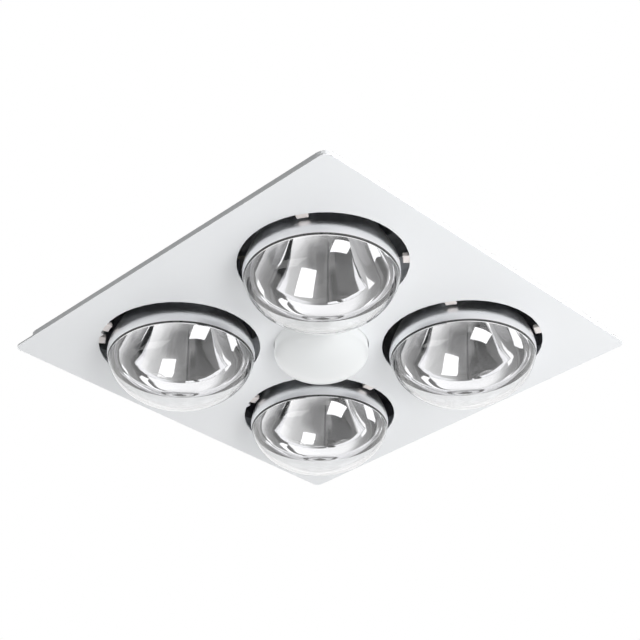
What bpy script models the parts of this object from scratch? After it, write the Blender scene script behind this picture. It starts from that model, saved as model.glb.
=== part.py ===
"""A ceiling heater for a bathroom: four infra-red lamps, an exhaust fan and a centre light.

Metres, +Z up, in the place of use: the ceiling's underside is Z = 0, the fascia faces down, and
the origin is the centre of the ceiling cut-out. The four lamps are named by where they stand for
a person below the corner at +X -Y: near, right, left and far.
"""

from math import atan, cos, pi, radians, sin, sqrt

import bmesh
import bpy
from mathutils import Matrix, Vector

# Fits that every piece shares
SEAT = 0.0003
OVERRUN = 0.003
WELD = 0.000001
SHARP_ANGLE = radians(34)

# Fascia: a flat sheet with a set-back skirt
FASCIA_RIM = 0.0306
FASCIA_CORNER = 0.006
FASCIA_SHEET = 0.0014
FASCIA_DROP = 0.0135
FASCIA_TRAVEL = 0.055
LAMP_WEB = 0.0332
LAMP_GAP = 0.0059
COVER_GAP = 0.00085
SKIRT_INSET = 0.0075
SKIRT_CORNER = 0.009
SKIRT_SHEET = 0.0010
SKIRT_FOOT = 0.007

# Housing: a folded galvanised box with a flange under the ceiling
HOUSING_SET_IN = 0.034
ROOF_ROOM = 0.0195
HOUSING_SHEET = 0.0012
HOUSING_CORNER = 0.003
FLANGE_WIDTH = 0.022
CEILING_BOARD = 0.0125

# Lamp: a blown reflector bulb on a screw cap
LAMP_DIAMETER = 0.125
LAMP_BELOW_FACE = 0.007
DOME_DEPTH = 0.044
GLASS_WALL = 0.0012
SHOULDER_RADIUS = 0.020
REFLECTOR_HEIGHT = 0.060
REFLECTOR_ROUND_SHARE = 0.144
REFLECTOR_TOP_RADIUS = 0.021
NECK_RADIUS = 0.0185
NECK_HEIGHT = 0.098
CAP_START_HEIGHT = 0.102
CAP_RADIUS = 0.0132
CAP_WALL = 0.0011
CAP_LENGTH = 0.027
CAP_THREAD_DEPTH = 0.0006
CAP_THREADS = 3
CONTACT_RADIUS = 0.0050
NECK_TIP_LENGTH = 0.006
STEM_ABOVE_FILAMENT = 0.0157
STEM_RADIUS = 0.0055
STEM_TIP_RADIUS = 0.0033
FILAMENT_HEIGHT = 0.046
FILAMENT_HALF_WIDTH = 0.015
FILAMENT_WIRE = 0.0007
FILAMENT_WAVES = 3
FILAMENT_RISE = 0.0035
# How far each lamp hangs off its hole's centre, as its holder was screwed down
LAMP_SHIFT = 0.0010

# Lampholders, and the two rails that carry them
HOLDER_RADIUS = 0.0235
HOLDER_MOUTH_RADIUS = 0.0200
HOLDER_BORE_RADIUS = 0.0140
HOLDER_MOUTH_GAP = 0.0015
HOLDER_BASE = 0.0190
HOLDER_STEP = 0.014
RAIL_WIDTH = 0.030
RAIL_SHEET = 0.0012
RAIL_TAB = 0.014
RAIL_EYE = 0.0035

# Centre light: a finned base, a board and an opal cover on a bayonet
COVER_OVERHANG = 0.00075
COVER_RIM_PROUD = 0.0065
COVER_DOME_DEPTH = 0.0215
COVER_WALL = 0.0020
COVER_BEHIND_FACE = 0.0095
BASE_RADIUS = 0.0390
BASE_TOP = 0.0200
BASE_FIN = 0.0040
BASE_FIN_DEPTH = 0.0050
BASE_FINS = 2
BASE_RIM_WALL = 0.0032
BASE_RIM_LENGTH = 0.0085
GROOVE_WIDTH = 0.0030
GROOVE_DEPTH = 0.0016
GROOVE_RISE = 0.0026
LUG_ARC = radians(24)
WAY_ARC = radians(29)
LUG_COUNT = 3
COVER_TWIST = radians(30)
BOARD_SHEET = 0.0016
BOARD_RECESS = 0.0105
BRIDGE_WIDTH = 0.026
DRIVER_SIZE = (0.022, 0.078, 0.030)
DRIVER_HEIGHT = 0.086

# Duct spigot with its back-draught shutter
DUCT_RADIUS = 0.0745
DUCT_WALL = 0.0015
DUCT_HEIGHT = 0.062
DUCT_FLANGE_RADIUS = 0.0775
DUCT_BEAD = 0.0010
DUCT_BEAD_BELOW_TOP = 0.012
LEDGE_HEIGHT = 0.0380
LEDGE_WIDTH = 0.0035
FLAP_SHEET = 0.0012
FLAP_MARGIN = 0.0007
PIN_RADIUS = 0.0012
KNUCKLE_WALL = 0.0011
KNUCKLE_LENGTH = 0.026
KNUCKLE_PITCH = 0.030
KNUCKLE_PLACE_SHARES = (-1.5, 0.5)

# Fan: a motor on a spider, a shaft and an axial impeller
INTAKE_STEP = 0.0005
SPIDER_SHEET = 0.0020
SPIDER_ARM_WIDTH = 0.014
SPIDER_REACH = 0.086
SPIDER_HUB_RADIUS = 0.027
SPIDER_BORE_RADIUS = 0.006
MOTOR_RADIUS = 0.034
MOTOR_HEIGHT = 0.046
MOTOR_BOSS_RADIUS = 0.016
MOTOR_BOSS = 0.007
MOTOR_SEAM = 0.003
SHAFT_RADIUS = 0.0030
SHAFT_IN_MOTOR = 0.030
IMPELLER_GAP = 0.0020
HUB_RADIUS = 0.0190
HUB_HEIGHT = 0.0190
HUB_ABOVE_SPIDER = 0.0080
BLADE_COUNT = 6
BLADE_SHEET = 0.0018
BLADE_ROOT_ANGLE = radians(42)
BLADE_TIP_ANGLE = radians(24)
BLADE_ROOT_CHORD = 0.020
BLADE_TIP_CHORD = 0.044
BLADE_BOW_SHARE = 0.09
NUT_RADIUS = 0.0065
NUT_HEIGHT = 0.0050

# Spring clips that hold the fascia up, and their brackets
CLIP_OFF_WALL = 0.0033
CLIP_OFF_HOLE = 0.0025
CLIP_WIRE = 0.0020
CLIP_LEGS_APART = 0.024
CLIP_HOOK = 0.006
CLIP_BEND = 0.0025
SADDLE_SIZE = (0.012, 0.0056, 0.0052)
BRACKET_HEIGHT = 0.008
BRACKET_SHEET = 0.0012
BRACKET_TAB = 0.016
BRACKET_BACK = 0.0022
BRACKET_FRONT = 0.0062
BRACKET_END = 0.0035
EYE_CLEARANCE = 0.0006

# Clamps that grip the ceiling board from above
CLAMP_OFF_WALL = 0.0075
CLAMP_ARM = 0.024
CLAMP_WIDTH = 0.012
CLAMP_THICKNESS = 0.010
SCREW_RADIUS = 0.0025
SCREW_HEAD_RADIUS = 0.0046
SCREW_HEAD = 0.0028
GUIDE_HEIGHT = 0.050
GUIDE_REACH = 0.014
GUIDE_WIDTH = 0.014

# Terminal box on the housing's roof, its cable gland and the looms inside
TERMINAL_INSET = 0.0285
TERMINAL_COVER_SIZE = (0.042, 0.072, 0.032)
TERMINAL_COVER_WALL = 0.0016
TERMINAL_COVER_CORNER = 0.003
TERMINAL_BLOCK_SIZE = (0.022, 0.058, 0.017)
TERMINAL_WAYS = 5
TERMINAL_SLOT = 0.0030
GLAND_HEIGHT = 0.018
GLAND_NUT_RADIUS = 0.0112
GLAND_NUT_LENGTH = 0.015
GLAND_STEM_RADIUS = 0.0078
GLAND_STEM_LENGTH = 0.006
GLAND_BORE_RADIUS = 0.0040
GLAND_LIP = 0.0030
LOOM_RADIUS = 0.0018
LOOM_HOLE_Y = 0.020
LOOM_HOLE_RADIUS = 0.0045
LOOM_BEND = 0.008

# Levels and places that follow from the sizes above
FACE_Z = -FASCIA_DROP
BACK_Z = FACE_Z + FASCIA_SHEET
LAMP_Z = FACE_Z - LAMP_BELOW_FACE
LAMP_RADIUS = LAMP_DIAMETER / 2
LAMP_HOLE_DIAMETER = LAMP_DIAMETER + 2 * LAMP_GAP
LAMP_PITCH = LAMP_HOLE_DIAMETER + LAMP_WEB
FASCIA_SIDE = LAMP_PITCH + LAMP_HOLE_DIAMETER + 2 * FASCIA_RIM
HOUSING_SIDE = FASCIA_SIDE - 2 * HOUSING_SET_IN
COVER_RADIUS = BASE_RADIUS + COVER_OVERHANG
LIGHT_HOLE_DIAMETER = 2 * (COVER_RADIUS + COVER_GAP)
CAP_TIP_Z = LAMP_Z + CAP_START_HEIGHT + CAP_LENGTH
RAIL_Z = CAP_TIP_Z + SEAT + HOLDER_BASE + SEAT
ROOF_UNDER_Z = RAIL_Z + RAIL_SHEET + ROOF_ROOM
HOUSING_HEIGHT = ROOF_UNDER_Z + HOUSING_SHEET
WALL_INSIDE = HOUSING_SIDE / 2 - HOUSING_SHEET
TERMINAL_CENTRE_X = TERMINAL_INSET - HOUSING_SIDE / 2
SPIDER_Z = ROOF_UNDER_Z - SEAT - SPIDER_SHEET
MOTOR_TOP_Z = SPIDER_Z - SEAT
HUB_Z = SPIDER_Z + SPIDER_SHEET + HUB_ABOVE_SPIDER
DUCT_Z = HOUSING_HEIGHT + SEAT
DUCT_BORE = DUCT_RADIUS - DUCT_WALL
INTAKE_RADIUS = DUCT_BORE + INTAKE_STEP
IMPELLER_RADIUS = DUCT_BORE - IMPELLER_GAP
PIN_Z = DUCT_Z + LEDGE_HEIGHT + DUCT_WALL + SEAT + FLAP_SHEET / 2
BOARD_TOP_Z = CEILING_BOARD + SEAT
BRACKET_TOP_Z = BRACKET_HEIGHT + BRACKET_SHEET
HOOK_Z = BRACKET_TOP_Z + FASCIA_TRAVEL + SEAT + CLIP_WIRE / 2
SADDLE_BAR_Z = BACK_Z + SADDLE_SIZE[2] / 2

# Each lamp's name, the signs of its X and Y, and the signs of its shift
LAMPS = {
    "near": ((1, -1), (-1, -1)),
    "right": ((1, 1), (0, 0)),
    "left": ((-1, -1), (1, 1)),
    "far": ((-1, 1), (0, 0)),
}


def material(name, colour, roughness, metallic=0.0, alpha=1.0):
    made = bpy.data.materials.new(name)
    made.use_nodes = True
    shader = made.node_tree.nodes["Principled BSDF"]
    shader.inputs["Base Color"].default_value = (*colour, 1.0)
    shader.inputs["Roughness"].default_value = roughness
    shader.inputs["Metallic"].default_value = metallic
    shader.inputs["Alpha"].default_value = alpha
    made.diffuse_color = (*colour, alpha)
    return made


def place(name, shape, finish, at=(0, 0, 0), turn=0.0, carrier=None):
    """Makes the finished shape an object at a place, turned about Z, on its carrier."""
    bmesh.ops.recalc_face_normals(shape, faces=shape.faces)
    mesh = bpy.data.meshes.new(name)
    shape.to_mesh(mesh)
    shape.free()
    mesh.shade_smooth()
    mesh.set_sharp_from_angle(angle=SHARP_ANGLE)
    mesh.materials.append(finish)
    made = bpy.data.objects.new(name, mesh)
    made.location = at
    made.rotation_euler.z = turn
    made.parent = carrier
    bpy.context.scene.collection.objects.link(made)
    return made


def pivot(name, at):
    """An empty on a joint's axis, which carries what moves there."""
    made = bpy.data.objects.new(name, None)
    made.location = at
    bpy.context.scene.collection.objects.link(made)
    return made


def helper(owner, name, shape, operation):
    """Cuts a shape out of its owner, or joins it on, as a live Boolean."""
    tool = place(f"{name}_tool", shape, owner.data.materials[0], owner.location[:], 0.0, owner.parent)
    tool.rotation_euler = owner.rotation_euler
    tool.hide_render = True
    tool.display_type = "WIRE"
    step = owner.modifiers.new(name, "BOOLEAN")
    step.operation = operation
    step.solver = "EXACT"
    step.object = tool


def cut(owner, name, shape):
    helper(owner, name, shape, "DIFFERENCE")


def join(owner, name, shape):
    helper(owner, name, shape, "UNION")


def turned(profile, steps):
    """Carries an outline of (radius, height) points once round the Z axis."""
    shape = bmesh.new()
    points = [shape.verts.new((radius, 0, height)) for radius, height in profile]
    edges = [shape.edges.new(pair) for pair in zip(points, points[1:])]
    if profile[0][0] > 0:
        edges.append(shape.edges.new((points[-1], points[0])))
    bmesh.ops.spin(
        shape, geom=points + edges, cent=(0, 0, 0), axis=(0, 0, 1),
        angle=2 * pi, steps=steps, use_merge=True,
    )
    bmesh.ops.remove_doubles(shape, verts=shape.verts, dist=WELD)
    return shape


def block(size, centre):
    shape = bmesh.new()
    bmesh.ops.create_cube(shape, size=1.0)
    bmesh.ops.transform(
        shape, matrix=Matrix.Translation(centre) @ Matrix.Diagonal((*size, 1.0)), verts=shape.verts
    )
    return shape


def rod(radius, low, high, centre=(0, 0), steps=20, axis="Z"):
    """A round bar from low to high along an axis, its centre given on the other two axes."""
    shape = turned([(0, low), (radius, low), (radius, high), (0, high)], steps)
    turns = {
        "Z": Matrix.Translation((*centre, 0)),
        "X": Matrix.Translation((0, *centre)) @ Matrix.Rotation(pi / 2, 4, "Y"),
        "Y": Matrix.Translation((centre[0], 0, centre[1])) @ Matrix.Rotation(-pi / 2, 4, "X"),
    }
    bmesh.ops.transform(shape, matrix=turns[axis], verts=shape.verts)
    return shape


def together(*shapes):
    """Several closed shapes as one mesh, to be one cutter."""
    whole = bmesh.new()
    for shape in shapes:
        mesh = bpy.data.meshes.new("part_of_cutter")
        bmesh.ops.recalc_face_normals(shape, faces=shape.faces)
        shape.to_mesh(mesh)
        shape.free()
        whole.from_mesh(mesh)
        bpy.data.meshes.remove(mesh)
    return whole


def prism(outline, low, high):
    """An outline of (x, y) points, filled and raised from low to high."""
    shape = bmesh.new()
    face = shape.faces.new([shape.verts.new((x, y, low)) for x, y in outline])
    raised = bmesh.ops.extrude_face_region(shape, geom=[face])["geom"]
    tops = [item for item in raised if isinstance(item, bmesh.types.BMVert)]
    bmesh.ops.translate(shape, vec=(0, 0, high - low), verts=tops)
    return shape


def rounded_outline(half_x, half_y, corner, steps=4):
    """The points of a rectangle with round corners, anticlockwise from +X -Y."""
    points = []
    for quarter, (sx, sy) in enumerate(((1, 1), (-1, 1), (-1, -1), (1, -1))):
        for step in range(steps + 1):
            angle = (quarter + step / steps) * pi / 2
            x = sx * (half_x - corner) + corner * cos(angle)
            y = sy * (half_y - corner) + corner * sin(angle)
            points.append((x, y))
    return points


def carried(profile, half_x, half_y, corner, steps=4, capped=False):
    """Carries an outline of (inset, height) points round a rectangle; capped ends are filled."""
    shape = bmesh.new()
    loops = []
    for inset, height in profile:
        bend = max(corner - inset, SEAT)
        around = rounded_outline(half_x - inset, half_y - inset, bend, steps)
        loops.append([shape.verts.new((x, y, height)) for x, y in around])
    pairs = list(zip(loops, loops[1:]))
    if not capped:
        pairs.append((loops[-1], loops[0]))
    for lower, upper in pairs:
        for k in range(len(lower)):
            shape.faces.new((lower[k - 1], lower[k], upper[k], upper[k - 1]))
    if capped:
        shape.faces.new(loops[0])
        shape.faces.new(loops[-1])
    return shape


def strip_outline(path, thickness):
    """The closed outline of a folded strip: a path of points, and the same path set off to its left."""
    corners = [Vector(point) for point in path]
    runs = [(b - a).normalized() for a, b in zip(corners, corners[1:])]
    sides = [Vector((-run.y, run.x)) for run in runs]
    set_off = [corners[0] + thickness * sides[0]]
    for k in range(1, len(corners) - 1):
        mitre = (sides[k - 1] + sides[k]).normalized()
        set_off.append(corners[k] + mitre * thickness / mitre.dot(sides[k]))
    set_off.append(corners[-1] + thickness * sides[-1])
    return [tuple(point) for point in corners + set_off[::-1]]


def folded_strip(path, thickness, y_low, y_high):
    """A strip folded in the XZ plane along a path of (x, z) points, from y_low to y_high."""
    shape = prism(strip_outline(path, thickness), -y_high, -y_low)
    bmesh.ops.transform(shape, matrix=Matrix.Rotation(pi / 2, 4, "X"), verts=shape.verts)
    return shape


def rounded_route(corners, bend, steps=2):
    """A route's points with each inner corner replaced by a short curve."""
    corners = [Vector(corner) for corner in corners]
    route = [corners[0]]
    for before, corner, after in zip(corners, corners[1:], corners[2:]):
        enter = corner + (before - corner).normalized() * bend
        leave = corner + (after - corner).normalized() * bend
        for step in range(steps + 1):
            t = step / steps
            route.append((1 - t) ** 2 * enter + 2 * t * (1 - t) * corner + t * t * leave)
    route.append(corners[-1])
    return route


def wire(name, route, radius, finish, at=(0, 0, 0), carrier=None):
    """A round wire along a route, as a curve with a bevel and filled caps."""
    curve = bpy.data.curves.new(name, "CURVE")
    curve.dimensions = "3D"
    curve.bevel_depth = radius
    curve.bevel_resolution = 1
    curve.use_fill_caps = True
    spline = curve.splines.new("POLY")
    spline.points.add(len(route) - 1)
    for point, target in zip(spline.points, route):
        point.co = (*target, 1.0)
    curve.materials.append(finish)
    made = bpy.data.objects.new(name, curve)
    made.location = at
    made.parent = carrier
    bpy.context.scene.collection.objects.link(made)
    return made


def lamp_place(name):
    (sx, sy), (shift_x, shift_y) = LAMPS[name]
    half = LAMP_PITCH / 2
    return sx * half + shift_x * LAMP_SHIFT, sy * half + shift_y * LAMP_SHIFT


def glass_outline(offset, dome_points, reflector_points):
    """The lamp's profile from the dome's bottom up to the neck's tip, set inwards by an offset.

    Below the widest plane it is a quarter ellipse. Above it a shoulder arc runs into a part of
    a longer ellipse, r^2 = top^2 + slope * depth - share * depth^2 with the depth counted down
    from the reflector's top, and that into the straight neck.
    """
    widest = LAMP_RADIUS
    slope = 0.0
    join_angle = 0.0
    for _ in range(8):
        join_r = widest - SHOULDER_RADIUS * (1 - cos(join_angle))
        join_z = SHOULDER_RADIUS * sin(join_angle)
        depth = REFLECTOR_HEIGHT - join_z
        bend = REFLECTOR_ROUND_SHARE * depth
        slope = (join_r**2 - REFLECTOR_TOP_RADIUS**2) / depth + bend
        join_angle = atan((slope - 2 * bend) / (2 * join_r))
    points = []
    for k in range(dome_points):
        angle = (1 - k / dome_points) * pi / 2
        points.append(((widest - offset) * cos(angle), -(DOME_DEPTH - offset) * sin(angle)))
    points[0] = (0.0, -(DOME_DEPTH - offset))
    points.append((widest - offset, 0.0))
    points.append((join_r - offset * cos(join_angle), join_z))
    for k in range(1, reflector_points + 1):
        down = depth * (1 - k / reflector_points)
        radius = sqrt(REFLECTOR_TOP_RADIUS**2 + (slope - REFLECTOR_ROUND_SHARE * down) * down)
        points.append((radius - offset, REFLECTOR_HEIGHT - down))
    points.append((NECK_RADIUS - offset, (2 * REFLECTOR_HEIGHT + NECK_HEIGHT) / 3))
    points.append((NECK_RADIUS - offset, NECK_HEIGHT))
    tip_radius = CAP_RADIUS - CAP_WALL - SEAT
    points.append((tip_radius - offset, CAP_START_HEIGHT))
    points.append((tip_radius - offset, CAP_START_HEIGHT + NECK_TIP_LENGTH))
    return points


def make_lamp(name, glass, brass, ceramic, tungsten, stem_glass):
    """One reflector lamp in its holder: glass, cap, stem, filament and the ceramic holder."""
    x, y = lamp_place(name)
    at = (x, y, LAMP_Z)
    outline = glass_outline(0.0, 8, 4) + glass_outline(GLASS_WALL, 4, 2)[::-1]
    place(f"lamp_glass_{name}", turned(outline, 24), glass, at)

    # The cap is a thin threaded shell with a solid end and a contact button
    start = CAP_START_HEIGHT
    thread_top = start + CAP_LENGTH - CAP_RADIUS + CONTACT_RADIUS
    rim = [(CAP_RADIUS, start)]
    half_pitch = (thread_top - start) / (2 * CAP_THREADS + 1)
    for k in range(CAP_THREADS):
        rim.append((CAP_RADIUS - CAP_THREAD_DEPTH, start + (2 * k + 1) * half_pitch))
        rim.append((CAP_RADIUS, start + (2 * k + 2) * half_pitch))
    rim += [
        (CAP_RADIUS - CAP_THREAD_DEPTH, thread_top),
        (CONTACT_RADIUS, start + CAP_LENGTH - CAP_WALL),
        (CONTACT_RADIUS - CAP_WALL, start + CAP_LENGTH),
        (0.0, start + CAP_LENGTH),
    ]
    # The bore follows the neck's tip, then the solid end begins
    inner = CAP_RADIUS - CAP_WALL
    bore_end = start + NECK_TIP_LENGTH + SEAT
    cap = [(0.0, bore_end), (inner, bore_end), (inner, start)] + rim
    place(f"lamp_cap_{name}", turned(cap, 14), brass, at)

    # The stem flares out to the neck's tip and narrows to a glass rod
    flare = inner - SEAT - GLASS_WALL - SEAT
    top = start + NECK_TIP_LENGTH - SEAT
    end = FILAMENT_HEIGHT + STEM_ABOVE_FILAMENT
    stem = [
        (0.0, end), (STEM_TIP_RADIUS, end),
        (STEM_RADIUS, end + STEM_RADIUS), (STEM_RADIUS, top - 2 * NECK_TIP_LENGTH),
        (flare, top - NECK_TIP_LENGTH / 2), (flare, top), (0.0, top),
    ]
    place(f"lamp_stem_{name}", turned(stem, 10), stem_glass, at)

    # The filament hangs in waves between two wires that meet the stem's end
    foot = end - SEAT - FILAMENT_WIRE / 2
    half = FILAMENT_HALF_WIDTH
    route = [(-STEM_RADIUS / 2, 0, foot), (-half, 0, FILAMENT_HEIGHT)]
    for k in range(1, 2 * FILAMENT_WAVES):
        rise = FILAMENT_RISE if k % 2 else 0.0
        route.append((-half + k * half / FILAMENT_WAVES, 0, FILAMENT_HEIGHT + rise))
    route += [(half, 0, FILAMENT_HEIGHT), (STEM_RADIUS / 2, 0, foot)]
    wire(f"lamp_filament_{name}", [Vector(p) for p in route], FILAMENT_WIRE / 2, tungsten, at)

    # The holder's bore takes the cap, whose button stops just short of the solid base
    mouth = start + HOLDER_MOUTH_GAP
    tip = start + CAP_LENGTH + SEAT
    step_top = mouth + HOLDER_STEP + HOLDER_RADIUS - HOLDER_MOUTH_RADIUS
    holder = [
        (0.0, tip), (HOLDER_BORE_RADIUS, tip), (HOLDER_BORE_RADIUS, mouth),
        (HOLDER_MOUTH_RADIUS, mouth), (HOLDER_MOUTH_RADIUS, mouth + HOLDER_STEP),
        (HOLDER_RADIUS, step_top), (HOLDER_RADIUS, tip + HOLDER_BASE), (0.0, tip + HOLDER_BASE),
    ]
    place(f"lampholder_{name}", turned(holder, 20), ceramic, at)


def make_rail(name, side, steel):
    """A rail across the housing, its ends turned down against the walls, over two lampholders."""
    reach = WALL_INSIDE - SEAT
    y = side * LAMP_PITCH / 2
    top = RAIL_Z + RAIL_SHEET
    path = [(reach, RAIL_Z - RAIL_TAB), (reach, top), (-reach, top), (-reach, RAIL_Z - RAIL_TAB)]
    shape = folded_strip(path, RAIL_SHEET, y - RAIL_WIDTH / 2, y + RAIL_WIDTH / 2)
    rail = place(f"holder_rail_{name}", shape, steel)
    eye = rod(RAIL_EYE, RAIL_Z - OVERRUN, top + OVERRUN, (LAMP_PITCH / 2, y), 12)
    cut(rail, f"eye_{name}", eye)


def make_loom(name, side, sleeve):
    """The lead from a rail's two lampholders, along the rail and up to the terminal block."""
    y = side * LAMP_PITCH / 2
    x = LAMP_PITCH / 2
    along = RAIL_Z + RAIL_SHEET + SEAT + LOOM_RADIUS
    hole_y = side * LOOM_HOLE_Y
    route = rounded_route([
        (x, y, RAIL_Z),
        (x, y, along + LOOM_BEND / 2),
        (x - 2 * LOOM_BEND, y, along),
        (-x, y, along),
        (TERMINAL_CENTRE_X, hole_y, along + LOOM_BEND / 2),
        (TERMINAL_CENTRE_X, hole_y, HOUSING_HEIGHT),
    ], LOOM_BEND / 3)
    wire(f"lamp_loom_{name}", route, LOOM_RADIUS, sleeve)


def make_fascia(paint, steel, carrier):
    """The sheet with its five holes and four saddles, the skirt, and the spring clips."""
    half = FASCIA_SIDE / 2
    sheet = place(
        "fascia_panel",
        prism(rounded_outline(half, half, FASCIA_CORNER), FACE_Z, BACK_Z),
        paint, carrier=carrier,
    )
    holes = []
    for (sx, sy), _ in LAMPS.values():
        centre = (sx * LAMP_PITCH / 2, sy * LAMP_PITCH / 2)
        holes.append(rod(LAMP_HOLE_DIAMETER / 2, FACE_Z - OVERRUN, BACK_Z + OVERRUN, centre, 44))
    holes.append(rod(LIGHT_HOLE_DIAMETER / 2, FACE_Z - OVERRUN, BACK_Z + OVERRUN, (0, 0), 36))
    cut(sheet, "holes", together(*holes))
    width, depth, height = SADDLE_SIZE
    saddles, bores = [], []
    for x, y, _ in clip_places():
        saddles.append(block((width, depth, height + FASCIA_SHEET / 2),
                             (x, y, BACK_Z + height / 2 - FASCIA_SHEET / 4)))
        bores.append(rod(CLIP_WIRE / 2 + SEAT, x - width, x + width, (y, SADDLE_BAR_Z), 10, "X"))
    join(sheet, "saddles", together(*saddles))
    cut(sheet, "saddle_bores", together(*bores))

    low, high = BACK_Z + SEAT, -SEAT
    skirt = [(0, low), (0, high), (SKIRT_SHEET, high), (SKIRT_SHEET, low + SKIRT_SHEET),
             (SKIRT_FOOT, low + SKIRT_SHEET), (SKIRT_FOOT, low)]
    skirt_half = half - SKIRT_INSET
    place("fascia_skirt", carried(skirt, skirt_half, skirt_half, SKIRT_CORNER), paint, carrier=carrier)

    leg = CLIP_LEGS_APART / 2
    corners = [(-leg - CLIP_HOOK, 0, HOOK_Z), (-leg, 0, HOOK_Z), (-leg, 0, SADDLE_BAR_Z),
               (leg, 0, SADDLE_BAR_Z), (leg, 0, HOOK_Z), (leg + CLIP_HOOK, 0, HOOK_Z)]
    for x, y, name in clip_places():
        wire(f"spring_clip_{name}", rounded_route(corners, CLIP_BEND), CLIP_WIRE / 2, steel,
             (x, y, 0), carrier)


def clip_places():
    """Where each spring clip stands: just off its lamp hole, outward of the lamp and towards -Y.

    The clips of the two lamps at -Y also stand just off the housing's wall.
    """
    half = LAMP_PITCH / 2
    backward = WALL_INSIDE - CLIP_OFF_WALL - half
    outward = sqrt((LAMP_HOLE_DIAMETER / 2 + CLIP_OFF_HOLE) ** 2 - backward**2)
    return [
        (sx * (half + outward), sy * half - backward, name)
        for name, ((sx, sy), _) in LAMPS.items()
    ]


def make_clip_brackets(steel):
    """A folded bracket on the housing wall for each clip, with an eye for each of its legs."""
    for x, y, name in clip_places():
        side = 1 if x > 0 else -1
        reach = WALL_INSIDE - SEAT
        inner = abs(x) - CLIP_LEGS_APART / 2 - BRACKET_END
        path = [(inner, BRACKET_HEIGHT), (reach, BRACKET_HEIGHT), (reach, BRACKET_HEIGHT + BRACKET_TAB)]
        shape = folded_strip(path, BRACKET_SHEET, y - BRACKET_BACK, y + BRACKET_FRONT)
        if side < 0:
            bmesh.ops.scale(shape, vec=(-1, 1, 1), verts=shape.verts)
        bracket = place(f"clip_bracket_{name}", shape, steel)
        radius = CLIP_WIRE / 2 + EYE_CLEARANCE
        eyes = [
            rod(radius, BRACKET_HEIGHT - OVERRUN, BRACKET_TOP_Z + OVERRUN, (x + leg, y), 12)
            for leg in (-CLIP_LEGS_APART / 2, CLIP_LEGS_APART / 2)
        ]
        cut(bracket, f"eyes_{name}", together(*eyes))


def clamp_places():
    """Each clamp screw's place, the turn that points its arm off the wall, and its name."""
    off = HOUSING_SIDE / 2 + CLAMP_OFF_WALL
    return [((off, 0), 0.0, "a"), ((0, off), pi / 2, "b"), ((-off, 0), pi, "c"), ((0, -off), -pi / 2, "d")]


def make_housing(zinc):
    """The box, with its fan opening, loom holes and the guide lug and hole of each clamp screw."""
    flange_half = HOUSING_SIDE / 2 + FLANGE_WIDTH
    inside = FLANGE_WIDTH + HOUSING_SHEET
    profile = [(FLANGE_WIDTH, HOUSING_HEIGHT), (FLANGE_WIDTH, 0), (0, 0), (0, -HOUSING_SHEET),
               (inside, -HOUSING_SHEET), (inside, ROOF_UNDER_Z)]
    corner = FLANGE_WIDTH + HOUSING_CORNER
    box = place("housing", carried(profile, flange_half, flange_half, corner, 3, True), zinc)
    lugs, holes = [], []
    for (x, y), turn, _ in clamp_places():
        lug = block((GUIDE_REACH, GUIDE_WIDTH, HOUSING_SHEET),
                    (HOUSING_SIDE / 2 + GUIDE_REACH / 2 - HOUSING_SHEET / 2, 0, GUIDE_HEIGHT))
        bmesh.ops.transform(lug, matrix=Matrix.Rotation(turn, 4, "Z"), verts=lug.verts)
        lugs.append(lug)
        holes.append(rod(SCREW_RADIUS + SEAT, -OVERRUN, GUIDE_HEIGHT + OVERRUN, (x, y), 12))
    join(box, "guide_lugs", together(*lugs))
    holes.append(rod(INTAKE_RADIUS, ROOF_UNDER_Z - OVERRUN, HOUSING_HEIGHT + OVERRUN, (0, 0), 36))
    for side in (-1, 1):
        centre = (TERMINAL_CENTRE_X, side * LOOM_HOLE_Y)
        holes.append(rod(LOOM_HOLE_RADIUS, ROOF_UNDER_Z - OVERRUN, HOUSING_HEIGHT + OVERRUN, centre, 12))
    cut(box, "holes", together(*holes))


def make_clamps(steel, nylon):
    """A screw and an arm at each wall, on the joint on which the arm swings."""
    head_low = -HOUSING_SHEET - SEAT - SCREW_HEAD
    neck = head_low + SCREW_HEAD
    tip = GUIDE_HEIGHT + HOUSING_SHEET + OVERRUN
    recess = SCREW_RADIUS / 2
    for (x, y), turn, name in clamp_places():
        carrier = pivot(f"clamp_pivot_{name}", (x, y, 0))
        screw = [(0.0, head_low + recess), (recess, head_low + recess), (recess * 2, head_low),
                 (SCREW_HEAD_RADIUS, head_low), (SCREW_HEAD_RADIUS, neck), (SCREW_RADIUS, neck),
                 (SCREW_RADIUS, tip - SCREW_RADIUS), (SCREW_RADIUS / 2, tip), (0.0, tip)]
        place(f"clamp_screw_{name}", turned(screw, 10), steel, carrier=carrier)
        half = CLAMP_WIDTH / 2
        arm = [(CLAMP_ARM, -half), (CLAMP_ARM, half)]
        for k in range(9):
            angle = pi / 2 + k * pi / 8
            arm.append((half * cos(angle), half * sin(angle)))
        shape = prism(arm, BOARD_TOP_Z, BOARD_TOP_Z + CLAMP_THICKNESS)
        made = place(f"clamp_arm_{name}", shape, nylon, turn=turn, carrier=carrier)
        bore = rod(SCREW_RADIUS + SEAT, BOARD_TOP_Z - OVERRUN,
                   BOARD_TOP_Z + CLAMP_THICKNESS + OVERRUN, (0, 0), 12)
        cut(made, f"clamp_bore_{name}", bore)


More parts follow.
